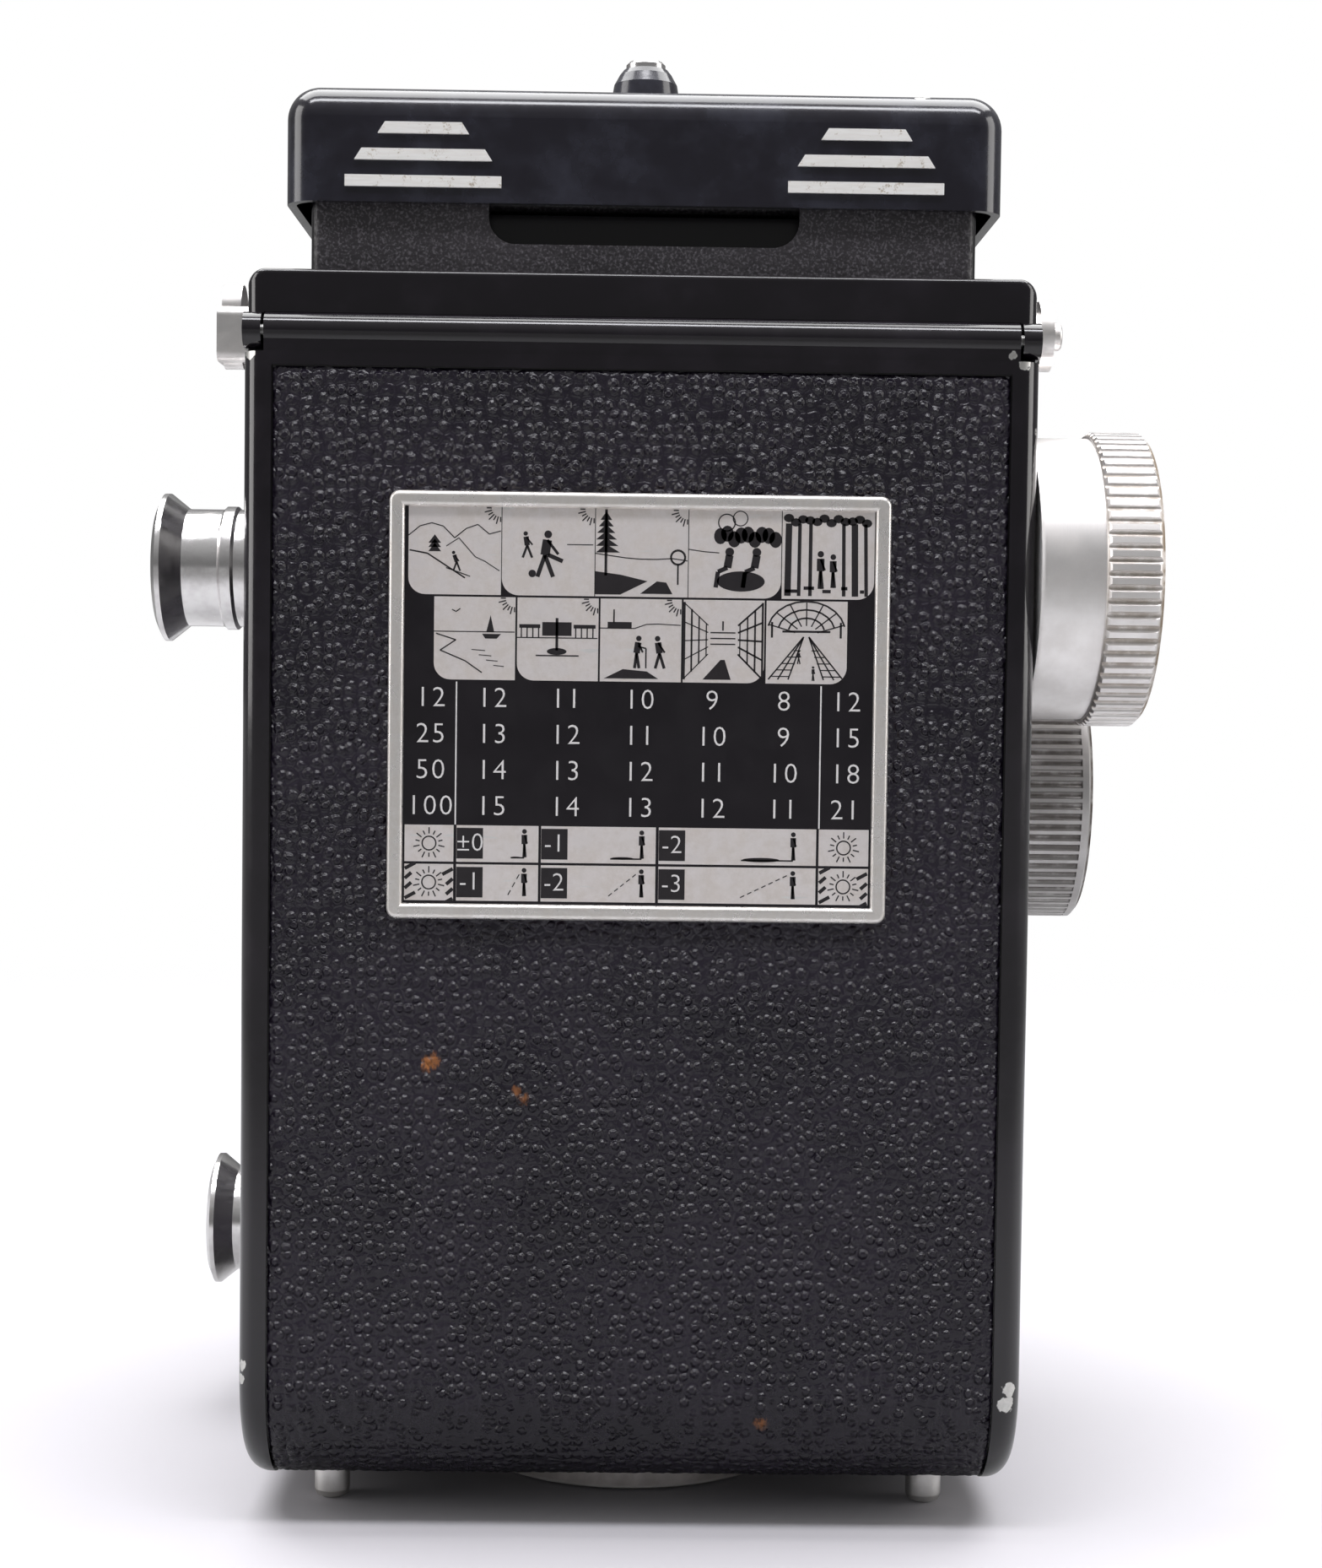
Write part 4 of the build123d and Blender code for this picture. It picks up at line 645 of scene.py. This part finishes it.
# square with a fountain
x = lower_cards[1][0]
drawing.line((x, y + 4.1), (x + 7.7, y + 4.1), width=0.1)
for low, high in ((0.2, 2.2), (5.4, 7.5)):
    drawing.line((x + low, y + 5.2), (x + high, y + 5.2), width=0.35)
    for step in range(4):
        drawing.line(
            (x + low + 0.2 + step * 0.55, y + 4.1), (x + low + 0.2 + step * 0.55, y + 5.1),
            width=0.12,
        )
drawing.patch((x + 2.4, y + 4.3), (x + 5.2, y + 4.3), (x + 5.2, y + 5.6), (x + 2.4, y + 5.6))
drawing.line((x + 3.8, y + 2.9), (x + 3.8, y + 6.0), width=0.26)
drawing.disc(x + 3.8, y + 2.8, 0.95, 0.35, 20)
drawing.line((x + 1.8, y + 2.4), (x + 5.9, y + 2.4), width=0.13)
# two people at work outdoors
x = lower_cards[2][0]
drawing.hills((x, x + 7.7), y + 5.1, (0.0, 0.0, 0.0, 0.0, 0.4, 0.45, 0.4, 0.35), 0.09)
drawing.patch((x + 0.7, y + 5.1), (x + 3.0, y + 5.1), (x + 3.0, y + 5.7), (x + 0.7, y + 5.7))
drawing.line((x + 1.3, y + 5.6), (x + 1.3, y + 6.9), width=0.14)
drawing.person(x + 3.5, y + 1.3, 3.1, 0.06, 0.05)
drawing.person(x + 5.7, y + 1.3, 3.1, 0.13, -0.05)
drawing.line((x + 3.6, y + 3.4), (x + 4.4, y + 3.2), (x + 4.4, y + 1.3), width=0.14)
drawing.patch((x + 0.4, y + 0.3), (x + 5.6, y + 0.3), (x + 4.5, y + 1.0), (x + 2.2, y + 1.2))
# street between tall buildings
x = lower_cards[3][0]
vanish = Vector((x + 3.8, y + 4.2))
for side, wall_x in ((-1, x + 0.1), (1, x + 7.6)):
    for level in range(5):
        start = Vector((wall_x, y + 0.4 + level * 1.8))
        drawing.line(start, start.lerp(vanish, 0.62), width=0.17 if side > 0 else 0.1)
    for step in range(4):
        near = step * 0.19
        low, high = Vector((wall_x, y + 0.3)), Vector((wall_x, y + 7.7))
        drawing.line(low.lerp(vanish, near), high.lerp(vanish, near), width=0.2 - step * 0.03)
for step in range(3):
    drawing.line((x + 2.6, y + 3.7 + step * 0.55), (x + 5.0, y + 3.7 + step * 0.55), width=0.12)
drawing.patch((x + 1.9, y + 0.3), (x + 4.6, y + 0.3), (x + 4.0, y + 2.2), (x + 3.6, y + 2.2))
drawing.line((x + 3.8, y + 5.0), (x + 3.8, y + 5.9), width=0.16)
# hall with rails
x = lower_cards[4][0]
vanish = Vector((x + 3.85, y + 4.6))
for step in range(3):
    reach = 3.75 - step * 1.0
    turns = [math.radians(12 + 156 * part / 10) for part in range(11)]
    drawing.line(
        *[(vanish.x + reach * math.cos(t), vanish.y + 0.3 + reach * 0.8 * math.sin(t)) for t in turns],
        width=0.16,
    )
for part in range(7):
    turn = math.radians(15 + 25 * part)
    far = Vector((vanish.x + 3.7 * math.cos(turn), vanish.y + 0.3 + 2.9 * math.sin(turn)))
    drawing.line(vanish.lerp(far, 0.3), far, width=0.12)
drawing.line((vanish.x - 2.3, vanish.y + 0.4), (vanish.x + 2.3, vanish.y + 0.4), width=0.2)
for side in (-1, 1):
    for spread in (1.7, 2.7, 3.6):
        foot = Vector((vanish.x + side * spread, y + 0.4))
        drawing.line(vanish + Vector((side * 0.25, -0.1)), foot, width=0.14)
    for step in range(5):
        low = y + 0.7 + step * 0.62
        drawing.line(
            (vanish.x + side * (1.6 - step * 0.27), low),
            (vanish.x + side * (3.4 - step * 0.55), low), width=0.1,
        )
    drawing.line(
        (vanish.x + side * 3.3, vanish.y - 0.2), (vanish.x + side * 3.3, vanish.y + 1.3),
        width=0.2,
    )
drawing.person(vanish.x - 0.7, y + 1.9, 1.3, 0.08)
drawing.person(vanish.x + 0.7, y + 0.3, 1.4, 0.05)
# sun in the corner of the sunlit pictures
for cards, row in ((upper_cards, upper_rows), (lower_cards, lower_rows)):
    for card in cards[:3]:
        drawing.sun(card[1] - 0.1, row[1] - 0.1, 0.62, 7, 172, 278, 1.3)
# correction rows: a figure with its shadow, then a figure with a line of sight
for column, ((left, end), shadow) in enumerate(zip(shadow_cards, (1.3, 3.0, 5.0))):
    figure = end - (1.35 if column < 2 else 2.2)
    for row_number, (low, high) in enumerate(light_rows):
        drawing.card((left + 0.02, left + 2.55), (low + 0.32, high - 0.25))
        drawing.person(figure, low + 0.5, 2.7, 0.02)
        if row_number == 0:
            drawing.disc(figure - shadow * 0.62, low + 0.5, shadow * 0.36, 0.12, 20)
            drawing.line((figure - shadow, low + 0.45), (figure, low + 0.45), width=0.14)
        else:
            drawing.dashes(
                (figure - shadow * 0.95 - 0.3, low + 0.6), (figure - 0.3, low + 2.9),
                3 + 2 * column,
            )
for middle in (-19.95, 19.9):
    for row_number, (low, high) in enumerate(light_rows):
        centre = (low + high) / 2
        drawing.ring(middle, centre, 0.66, 0.13)
        drawing.sun(middle, centre, 0.68, 14, reach=1.0)
        if row_number:
            for x_side in (-1, 1):
                for step in range(4):
                    start = Vector((middle + x_side * 2.3, centre - 1.55 + step * 0.95))
                    reach = 1.0 if step in (0, 3) else 0.62
                    slant = Vector((-reach, -0.55)) * x_side
                    drawing.line(start, start + slant, width=0.34)
drawing.finished("table_drawings", silver_layer, drawing_layer - silver_layer, table_ink)

figures = Print()
for edge_x in (-17.45, 17.5):
    figures.line((edge_x, 2.3), (edge_x, -11.4), width=0.14)
figures.line((-22.2, 19.28), (22.2, 19.28), width=0.1)
figures.finished("table_lines", 0, silver_layer, table_white)


def numerals(name, text, size, place, lift, spread=1.12, body="back_door", turn=None):
    """Number as a thin mesh. Its middle is at a place on the plate, in millimetres."""
    letters = bpy.data.curves.new(name, "FONT")
    letters.body = text
    letters.size = size
    letters.align_x = "CENTER"
    letters.align_y = "CENTER"
    letters.space_character = spread
    letters.offset = -0.012 * size
    letters.resolution_u = 3
    holder = bpy.data.objects.new(name, letters)
    bpy.context.scene.collection.objects.link(holder)
    bpy.context.view_layer.update()
    mesh = bpy.data.meshes.new_from_object(holder.evaluated_get(bpy.context.evaluated_depsgraph_get()))
    bpy.data.objects.remove(holder)
    shape = bmesh.new()
    shape.from_mesh(mesh)
    bmesh.ops.remove_doubles(shape, verts=shape.verts[:], dist=0.0005)
    bmesh.ops.solidify(shape, geom=shape.faces[:], thickness=0.02)
    bmesh.ops.recalc_face_normals(shape, faces=shape.faces[:])
    if turn is None:
        for corner in shape.verts:
            x, y, z = corner.co * MM
            corner.co = (place[0] * MM + x, plate_face - lift - abs(z), plate_middle + place[1] * MM + y)
        bmesh.ops.recalc_face_normals(shape, faces=shape.faces[:])
    else:
        bmesh.ops.transform(shape, matrix=turn @ Matrix.Diagonal((MM, MM, MM, 1)), verts=shape.verts[:])
    return new_piece(name, shape, table_white, body, smooth=False)


number_size = 2.75
row_pitch = 3.46
number_columns = (
    (-19.9, "12", "25", "50", "100"),
    (-14.0, "12", "13", "14", "15"),
    (-6.95, "11", "12", "13", "14"),
    (0.1, "10", "11", "12", "13"),
    (7.05, "9", "10", "11", "12"),
    (13.95, "8", "9", "10", "11"),
    (19.95, "12", "15", "18", "21"),
)
for column, (across, *values) in enumerate(number_columns):
    for row_number, value in enumerate(values):
        place = (across, 0.72 - row_pitch * row_number)
        numerals(f"table_number_{column}_{row_number}", value, number_size, place, 0)
for row_number, values in enumerate((("±0", "-1", "-2"), ("-1", "-2", "-3"))):
    for column, value in enumerate(values):
        low, high = light_rows[row_number]
        place = (shadow_cards[column][0] + 1.28, (low + high) / 2 + 0.05)
        numerals(f"table_step_{column}_{row_number}", value, 2.5, place, drawing_layer, spread=1.0)

# The frame is a drawn bead of nickelled metal; old polish has browned its outer edge.
table_bead = Finish("table_bead", Metallic=0.75)
bead_wear = table_bead.grain(1.8, 5, 0.65)
outside = table_bead.ramp(table_bead.along("Y"), -31.25, -31.02)
bead_clean = table_bead.mixed(
    table_bead.ramp(bead_wear, 0.3, 0.7), (0.92, 0.89, 0.87), (0.80, 0.76, 0.72)
)
table_bead.colour(
    table_bead.mixed(outside * table_bead.ramp(bead_wear, 0.35, 0.6) * 0.9, bead_clean, (0.23, 0.14, 0.07))
)
table_bead.roughness(table_bead.ramp(bead_wear, 0.3, 0.7, 0.24, 0.4))
table_bead.relief(table_bead.grain(0.4, 3, 0.5), 0.01, 0.6)
table_bead.on("table_frame")

# ---------------------------------------------------------------- feet, tripod fitting and lock
# Turned nickelled brass, dulled by use. The bottom rim of the lock ring is rubbed bright
# by the surfaces that the camera has stood on.
turned_nickel = Finish("turned_nickel", Metallic=1.0)
tarnish = turned_nickel.grain(3, 5, 0.6)
clean = turned_nickel.mixed(
    turned_nickel.ramp(tarnish, 0.3, 0.7), (0.96, 0.935, 0.92), (0.82, 0.79, 0.77)
)
turned_nickel.colour(clean)
turned_nickel.roughness(turned_nickel.ramp(tarnish, 0.3, 0.7, 0.3, 0.46))
lathe_marks = turned_nickel.grain(0.12, 2, 0.5, turned_nickel.stretched(0.02, 0.02, 1))
turned_nickel.relief(lathe_marks, 0.006, 0.7)
turned_nickel.on("feet", "tripod_boss", "strap_lugs")

lock_metal = Finish("lock_metal", Metallic=1.0)
rubbed_rim = lock_metal.ramp(lock_metal.along("Z"), 1.1, 0.7)
dull = lock_metal.mixed(
    lock_metal.ramp(lock_metal.grain(2.5, 5, 0.6), 0.3, 0.7), (0.66, 0.62, 0.60),
    (0.5, 0.465, 0.445),
)
lock_metal.colour(lock_metal.mixed(rubbed_rim, dull, (0.72, 0.70, 0.67)))
lock_metal.roughness(0.5 - rubbed_rim * 0.2 + lock_metal.grain(1.2) * 0.1)
lock_metal.on("lock_ring")

# ---------------------------------------------------------------- hidden steel and blackened parts
# Shafts, rollers, gate and springs are ground steel. The baffle, mirror bracket and
# pressure plate are blackened so that no light is thrown on the film.
steel = Finish("steel", Metallic=1.0)
streak = steel.grain(0.3, 3, 0.6, steel.stretched(0.08, 1, 1))
steel.colour(
    steel.mixed(steel.ramp(steel.grain(6, 4, 0.6), 0.3, 0.7), (0.56, 0.555, 0.55), (0.40, 0.395, 0.385))
)
steel.roughness(steel.ramp(streak, 0.3, 0.7, 0.24, 0.42))
steel.relief(streak, 0.005, 0.5)
steel.on(
    "hinge_pins", "tripod_bush", "pressure_springs", "latch_bar", "film_gate", "supply_pin", "film_spring",
    "upper_roller", "lower_roller", "wind_shaft", "focus_shaft", "shutter_blades", "board_screws",
)

blackened = Finish("blackened", Specular_IOR_Level=0.35)
soot = blackened.grain(5, 5, 0.6)
blackened.colour(
    blackened.mixed(blackened.ramp(soot, 0.3, 0.7), (0.010, 0.010, 0.010), (0.022, 0.021, 0.021))
)
blackened.roughness(blackened.ramp(soot, 0.3, 0.7, 0.6, 0.8))
blackened.relief(blackened.grain(0.2, 3, 0.6), 0.015, 0.6)
blackened.on(
    "light_baffle", "pressure_plate", "mirror_support", "screen_frame", "iris_blades", "magnifier_arm",
)

spool_black = Finish("spool_black")
spool_wear = spool_black.grain(2.5, 5, 0.65)
spool_black.colour(
    spool_black.mixed(spool_black.ramp(spool_wear, 0.45, 0.75), (0.018, 0.018, 0.02), (0.07, 0.068, 0.065))
)
spool_black.roughness(spool_black.ramp(spool_wear, 0.3, 0.7, 0.35, 0.5))
spool_black.on("take_up_spool")

mirror_silver = Finish("mirror_silver", Metallic=1.0)
haze = mirror_silver.grain(8, 4, 0.6)
mirror_silver.colour(
    mirror_silver.mixed(mirror_silver.ramp(haze, 0.4, 0.8), (0.90, 0.90, 0.89), (0.80, 0.79, 0.76))
)
mirror_silver.roughness(mirror_silver.ramp(haze, 0.4, 0.8, 0.02, 0.09))
mirror_silver.on("mirror")

ground_glass = Finish("ground_glass", Transmission_Weight=0.55, IOR=1.5)
etched = ground_glass.grain(0.15, 3, 0.6)
ground_glass.colour(ground_glass.mixed(etched, (0.66, 0.68, 0.66), (0.78, 0.79, 0.76)))
ground_glass.roughness(0.55 + etched * 0.2)
ground_glass.relief(etched, 0.01, 0.6)
ground_glass.on("focusing_screen")

# ---------------------------------------------------------------- winding and focusing knobs
# Turned light metal with a straight-cut grip. The skirts are satin, the tops of the
# teeth are polished by hands, and the cuts between them carry warm brown dirt and painted shade.
winding_axis = (-17.0, 94.5)
focusing_axis = (9.0, 72.0)


def grip_metal(name, axis, inner_end, skirt_radius, tooth_radius, teeth_from, dirt_and_shade, shade=1.0):
    """Satin turned metal with dirt and painted shade in the cuts of its toothed rim."""
    finish = Finish(name)
    radius = finish.off_axis(*axis)
    blotch = finish.grain(4, 5, 0.6)
    light, dark = (0.98, 0.955, 0.945), (0.87, 0.84, 0.825)
    light = tuple(shade * part for part in light)
    dark = tuple(shade * part for part in dark)
    clean = finish.mixed(finish.ramp(blotch, 0.3, 0.7), light, dark)
    in_teeth = finish.ramp(finish.along("X"), teeth_from - 0.1, teeth_from + 0.1)
    cut = finish.ramp(radius, tooth_radius - 0.06, tooth_radius - 0.42) * in_teeth
    outer = finish.ramp(radius, skirt_radius - 1.4, skirt_radius - 0.9)
    # Painted shade: the dirt colour in the cuts also stands in for the shade that falls between the teeth.
    grime_and_shade = cut * outer * finish.ramp(finish.grain(1.6, 4, 0.6), 0.25, 0.6, 0.35, 1.0)
    finish.colour(finish.mixed(grime_and_shade * 0.95, clean, dirt_and_shade))
    finish.metallic(finish.ramp(finish.along("X"), inner_end + 0.15, inner_end + 0.4, 0.3, 1.0))
    finish.roughness(finish.ramp(blotch, 0.3, 0.7, 0.38, 0.48) + grime_and_shade * 0.2)
    turning = finish.grain(0.09, 2, 0.5, finish.stretched(1, 0.02, 0.02))
    finish.relief(turning, 0.005, 0.8)
    return finish


winding_grip = grip_metal(
    "winding_grip",
    winding_axis,
    inner_end=38.6,
    skirt_radius=14.2,
    tooth_radius=14.84,
    teeth_from=44.9,
    dirt_and_shade=(0.30, 0.235, 0.17),
)
winding_grip.on("wind_knob")
focusing_grip = grip_metal(
    "focusing_grip",
    focusing_axis,
    inner_end=40.45,
    skirt_radius=14.2,
    tooth_radius=14.2,
    teeth_from=40.4,
    dirt_and_shade=(0.06, 0.042, 0.03),
    shade=0.6,
)
focusing_grip.on("focus_knob")
focus_ring = grip_metal(
    "focus_ring",
    focusing_axis,
    inner_end=38.3,
    skirt_radius=13.4,
    tooth_radius=13.4,
    teeth_from=99.0,
    dirt_and_shade=(0.2, 0.16, 0.12),
)
focus_ring.on("focus_scale")

# ---------------------------------------------------------------- pull-out spool knobs
# Turned and polished, each with a dished rim. Handling leaves them bright with fine
# lathe rings.
polished = Finish("polished", Metallic=1.0)
mark = polished.grain(2.2, 5, 0.65)
polished.colour(polished.mixed(polished.ramp(mark, 0.35, 0.7), (0.9, 0.885, 0.885), (0.74, 0.72, 0.72)))
polished.roughness(polished.ramp(mark, 0.35, 0.7, 0.14, 0.27))
rings = polished.grain(0.11, 2, 0.5, polished.stretched(1, 0.02, 0.02))
polished.relief(rings, 0.006, 0.7)
polished.on("upper_spool_knob", "lower_spool_knob", "counter_bezel", "lid_button")

# ---------------------------------------------------------------- viewing hood
# The hood base and the folding panels are pressed sheet with a fine crackle enamel.
# The lid and the collar of its button are gloss black.
crackle = Finish("crackle", Specular_IOR_Level=0.5)
fleck = crackle.cells(0.42, "SMOOTH_F1")
glint_speckle = crackle.ramp(crackle.grain(0.26, 3, 0.6), 0.48, 0.68)
crackle_base = crackle.mixed(
    crackle.ramp(crackle.grain(12, 4, 0.6), 0.3, 0.7), (0.020, 0.0175, 0.021),
    (0.032, 0.028, 0.033),
)
# Painted glints: light specks in the colour stand in for the crackle catching the light.
crackled = crackle.mixed(glint_speckle, crackle_base, (0.105, 0.098, 0.11))
hood_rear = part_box("hood_base")[0].y / MM
depth = crackle.along("Y") - hood_rear
in_recess = crackle.ramp(depth, 0.15, 0.35) * crackle.ramp(depth, 3.6, 3.8, 1.0, 0.0)
crackle.colour(crackle.mixed(in_recess, crackled, (0.007, 0.006, 0.008)))
crackle.roughness((0.42 + glint_speckle * 0.1) * (1 - in_recess) + in_recess * 0.2)
crackle_height = crackle.ramp(fleck, 0.0, 0.8) + crackle.grain(0.2, 3, 0.6) * 0.5
crackle.relief(crackle_height * (1 - in_recess), 0.05, 0.9)
crackle.on("hood_base", "hood_rear_panel", "left_wing", "right_wing")

lid_chips = (
    ((26.6, -25.6, 140.6), 0.42),
    ((27.4, -25.2, 140.8), 0.3),
    ((-34.6, -20.0, 130.0), 0.35),
    ((34.7, 30.0, 131.0), 0.45),
    ((-34.0, 33.6, 139.6), 0.4),
)
# Painted sheen: on the lid the handled patches turn a stronger bluish grey, standing in for the cloudy
# reflections on its face.
lid_enamel = enamel("lid_enamel", lid_chips, (0.009, 0.008, 0.014), 0.17, (0.03, 0.031, 0.046))
lid_enamel.on("hood_lid", "button_collar")

# Three bright bars stand at each side of the lid's rear face, tarnished in spots.
bar_metal = Finish("bar_metal", Metallic=0.1)
spotting = bar_metal.grain(0.9, 6, 0.75)
spots = bar_metal.ramp(spotting, 0.56, 0.68)
brushed = bar_metal.grain(0.25, 3, 0.5, bar_metal.stretched(0.1, 1, 1))
bar_clean = bar_metal.mixed(bar_metal.ramp(brushed, 0.3, 0.7), (0.98, 0.97, 0.95), (0.92, 0.90, 0.87))
bar_metal.colour(bar_metal.mixed(spots * 0.75, bar_clean, (0.36, 0.27, 0.17)))
bar_metal.roughness(0.32 + spots * 0.25 + brushed * 0.1)
bar_metal.relief(brushed - spots * 0.4, 0.012, 0.7)
bar_metal.on("lid_bars")

# ---------------------------------------------------------------- lenses, shutter and levers
# The shutter carries satin and bright rings round coated glasses. The taking barrel is
# black, with white aperture numbers above it.
satin = Finish("satin", Metallic=1.0)
satin_blotch = satin.grain(5, 5, 0.6)
satin.colour(satin.mixed(satin.ramp(satin_blotch, 0.3, 0.7), (0.70, 0.69, 0.68), (0.58, 0.57, 0.555)))
satin.roughness(satin.ramp(satin_blotch, 0.3, 0.7, 0.3, 0.42))
satin.relief(satin.grain(0.1, 2, 0.5, satin.stretched(0.5, 1, 0.5)), 0.006, 0.7)
satin.on("shutter_housing", "viewing_barrel")

bright = Finish("bright", Metallic=1.0)
bright_mark = bright.grain(2, 5, 0.65)
bright.colour(bright.mixed(bright.ramp(bright_mark, 0.35, 0.7), (0.83, 0.82, 0.81), (0.70, 0.69, 0.67)))
bright.roughness(bright.ramp(bright_mark, 0.35, 0.7, 0.1, 0.22))
bright.on("lens_bayonets", "release_lever", "aperture_lever", "speed_lever", "board_sockets")

dial_black = Finish("dial_black")
dial_wear = dial_black.grain(3, 5, 0.6)
dial_black.colour(
    dial_black.mixed(dial_black.ramp(dial_wear, 0.4, 0.75), (0.012, 0.012, 0.013), (0.03, 0.029, 0.029))
)
dial_black.roughness(dial_black.ramp(dial_wear, 0.3, 0.7, 0.3, 0.45))
dial_black.relief(dial_black.grain(0.15, 3, 0.5), 0.006, 0.6)
dial_black.on("counter_dial", "taking_barrel")

brass = Finish("brass", Metallic=1.0)
brass_age = brass.grain(3, 5, 0.6)
brass.colour(brass.mixed(brass.ramp(brass_age, 0.3, 0.7), (0.72, 0.52, 0.25), (0.45, 0.30, 0.13)))
brass.roughness(brass.ramp(brass_age, 0.3, 0.7, 0.25, 0.42))
brass.on("rear_cell")

coated_glass = Finish("coated_glass", Transmission_Weight=1.0, IOR=1.52)
coating = coated_glass.grain(20, 2, 0.5)
coated_glass.colour(coated_glass.mixed(coating, (0.80, 0.84, 0.96), (0.88, 0.86, 0.98)))
coated_glass.roughness(0.015 + coated_glass.grain(6) * 0.02)
coated_glass.on("lens_glasses", "magnifier_lens", "counter_window")

aperture_values = ("22", "16", "11", "8", "5.6", "4", "3.5")
taking_height = 51.5 * MM
number_circle = 17.1 * MM
barrel_face = Matrix.Translation((0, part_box("taking_barrel")[1].y - 0.02 * MM, taking_height))
facing = Matrix.Rotation(math.pi, 4, "Z") @ Matrix.Rotation(math.pi / 2, 4, "X")
for count, value in enumerate(aperture_values):
    swing = Matrix.Rotation(math.radians(36 - 12 * count), 4, "Z")
    turn = barrel_face @ facing @ swing @ Matrix.Translation((0, number_circle, 0))
    numerals(f"aperture_number_{count}", value, 1.9, None, 0, body="lens_board", turn=turn)

# ---------------------------------------------------------------- floor
# Plain white surface that fades into the light behind it.
floor = bmesh.new()
bmesh.ops.create_circle(floor, cap_ends=True, segments=64, radius=6.0)
bmesh.ops.translate(floor, verts=floor.verts[:], vec=(0, 0, -0.0001))
floor_mesh = bpy.data.meshes.new("floor")
floor.to_mesh(floor_mesh)
floor.free()
floor_object = bpy.data.objects.new("floor", floor_mesh)
bpy.context.scene.collection.objects.link(floor_object)
card = Finish("floor_card", Roughness=0.6, Specular_IOR_Level=0.25)
seen = Amount(card, card.node("ShaderNodeLightPath").outputs["Is Camera Ray"])
paper = card.mixed(card.grain(30, 3, 0.5), (0.65, 0.635, 0.67), (0.63, 0.615, 0.65))
card.colour(card.mixed(seen, (0.4, 0.4, 0.41), paper))
unseen_glow = 0.35
glow = card.node("ShaderNodeEmission", None, {"Color": (1, 1, 1, 1), "Strength": seen * (1 - unseen_glow) + unseen_glow})
fade_centre = (0, 60, 0)
fade_from, fade_to = 160.0, 420.0
away = card.ramp(card.near(fade_centre), fade_from, fade_to)
fade = card.node("ShaderNodeMixShader", None, {0: away, 1: card.shader.outputs[0], 2: glow.outputs[0]})
card.feed(card.tree.nodes["Material Output"].inputs["Surface"], fade.outputs[0])
floor_mesh.materials.append(card.material)
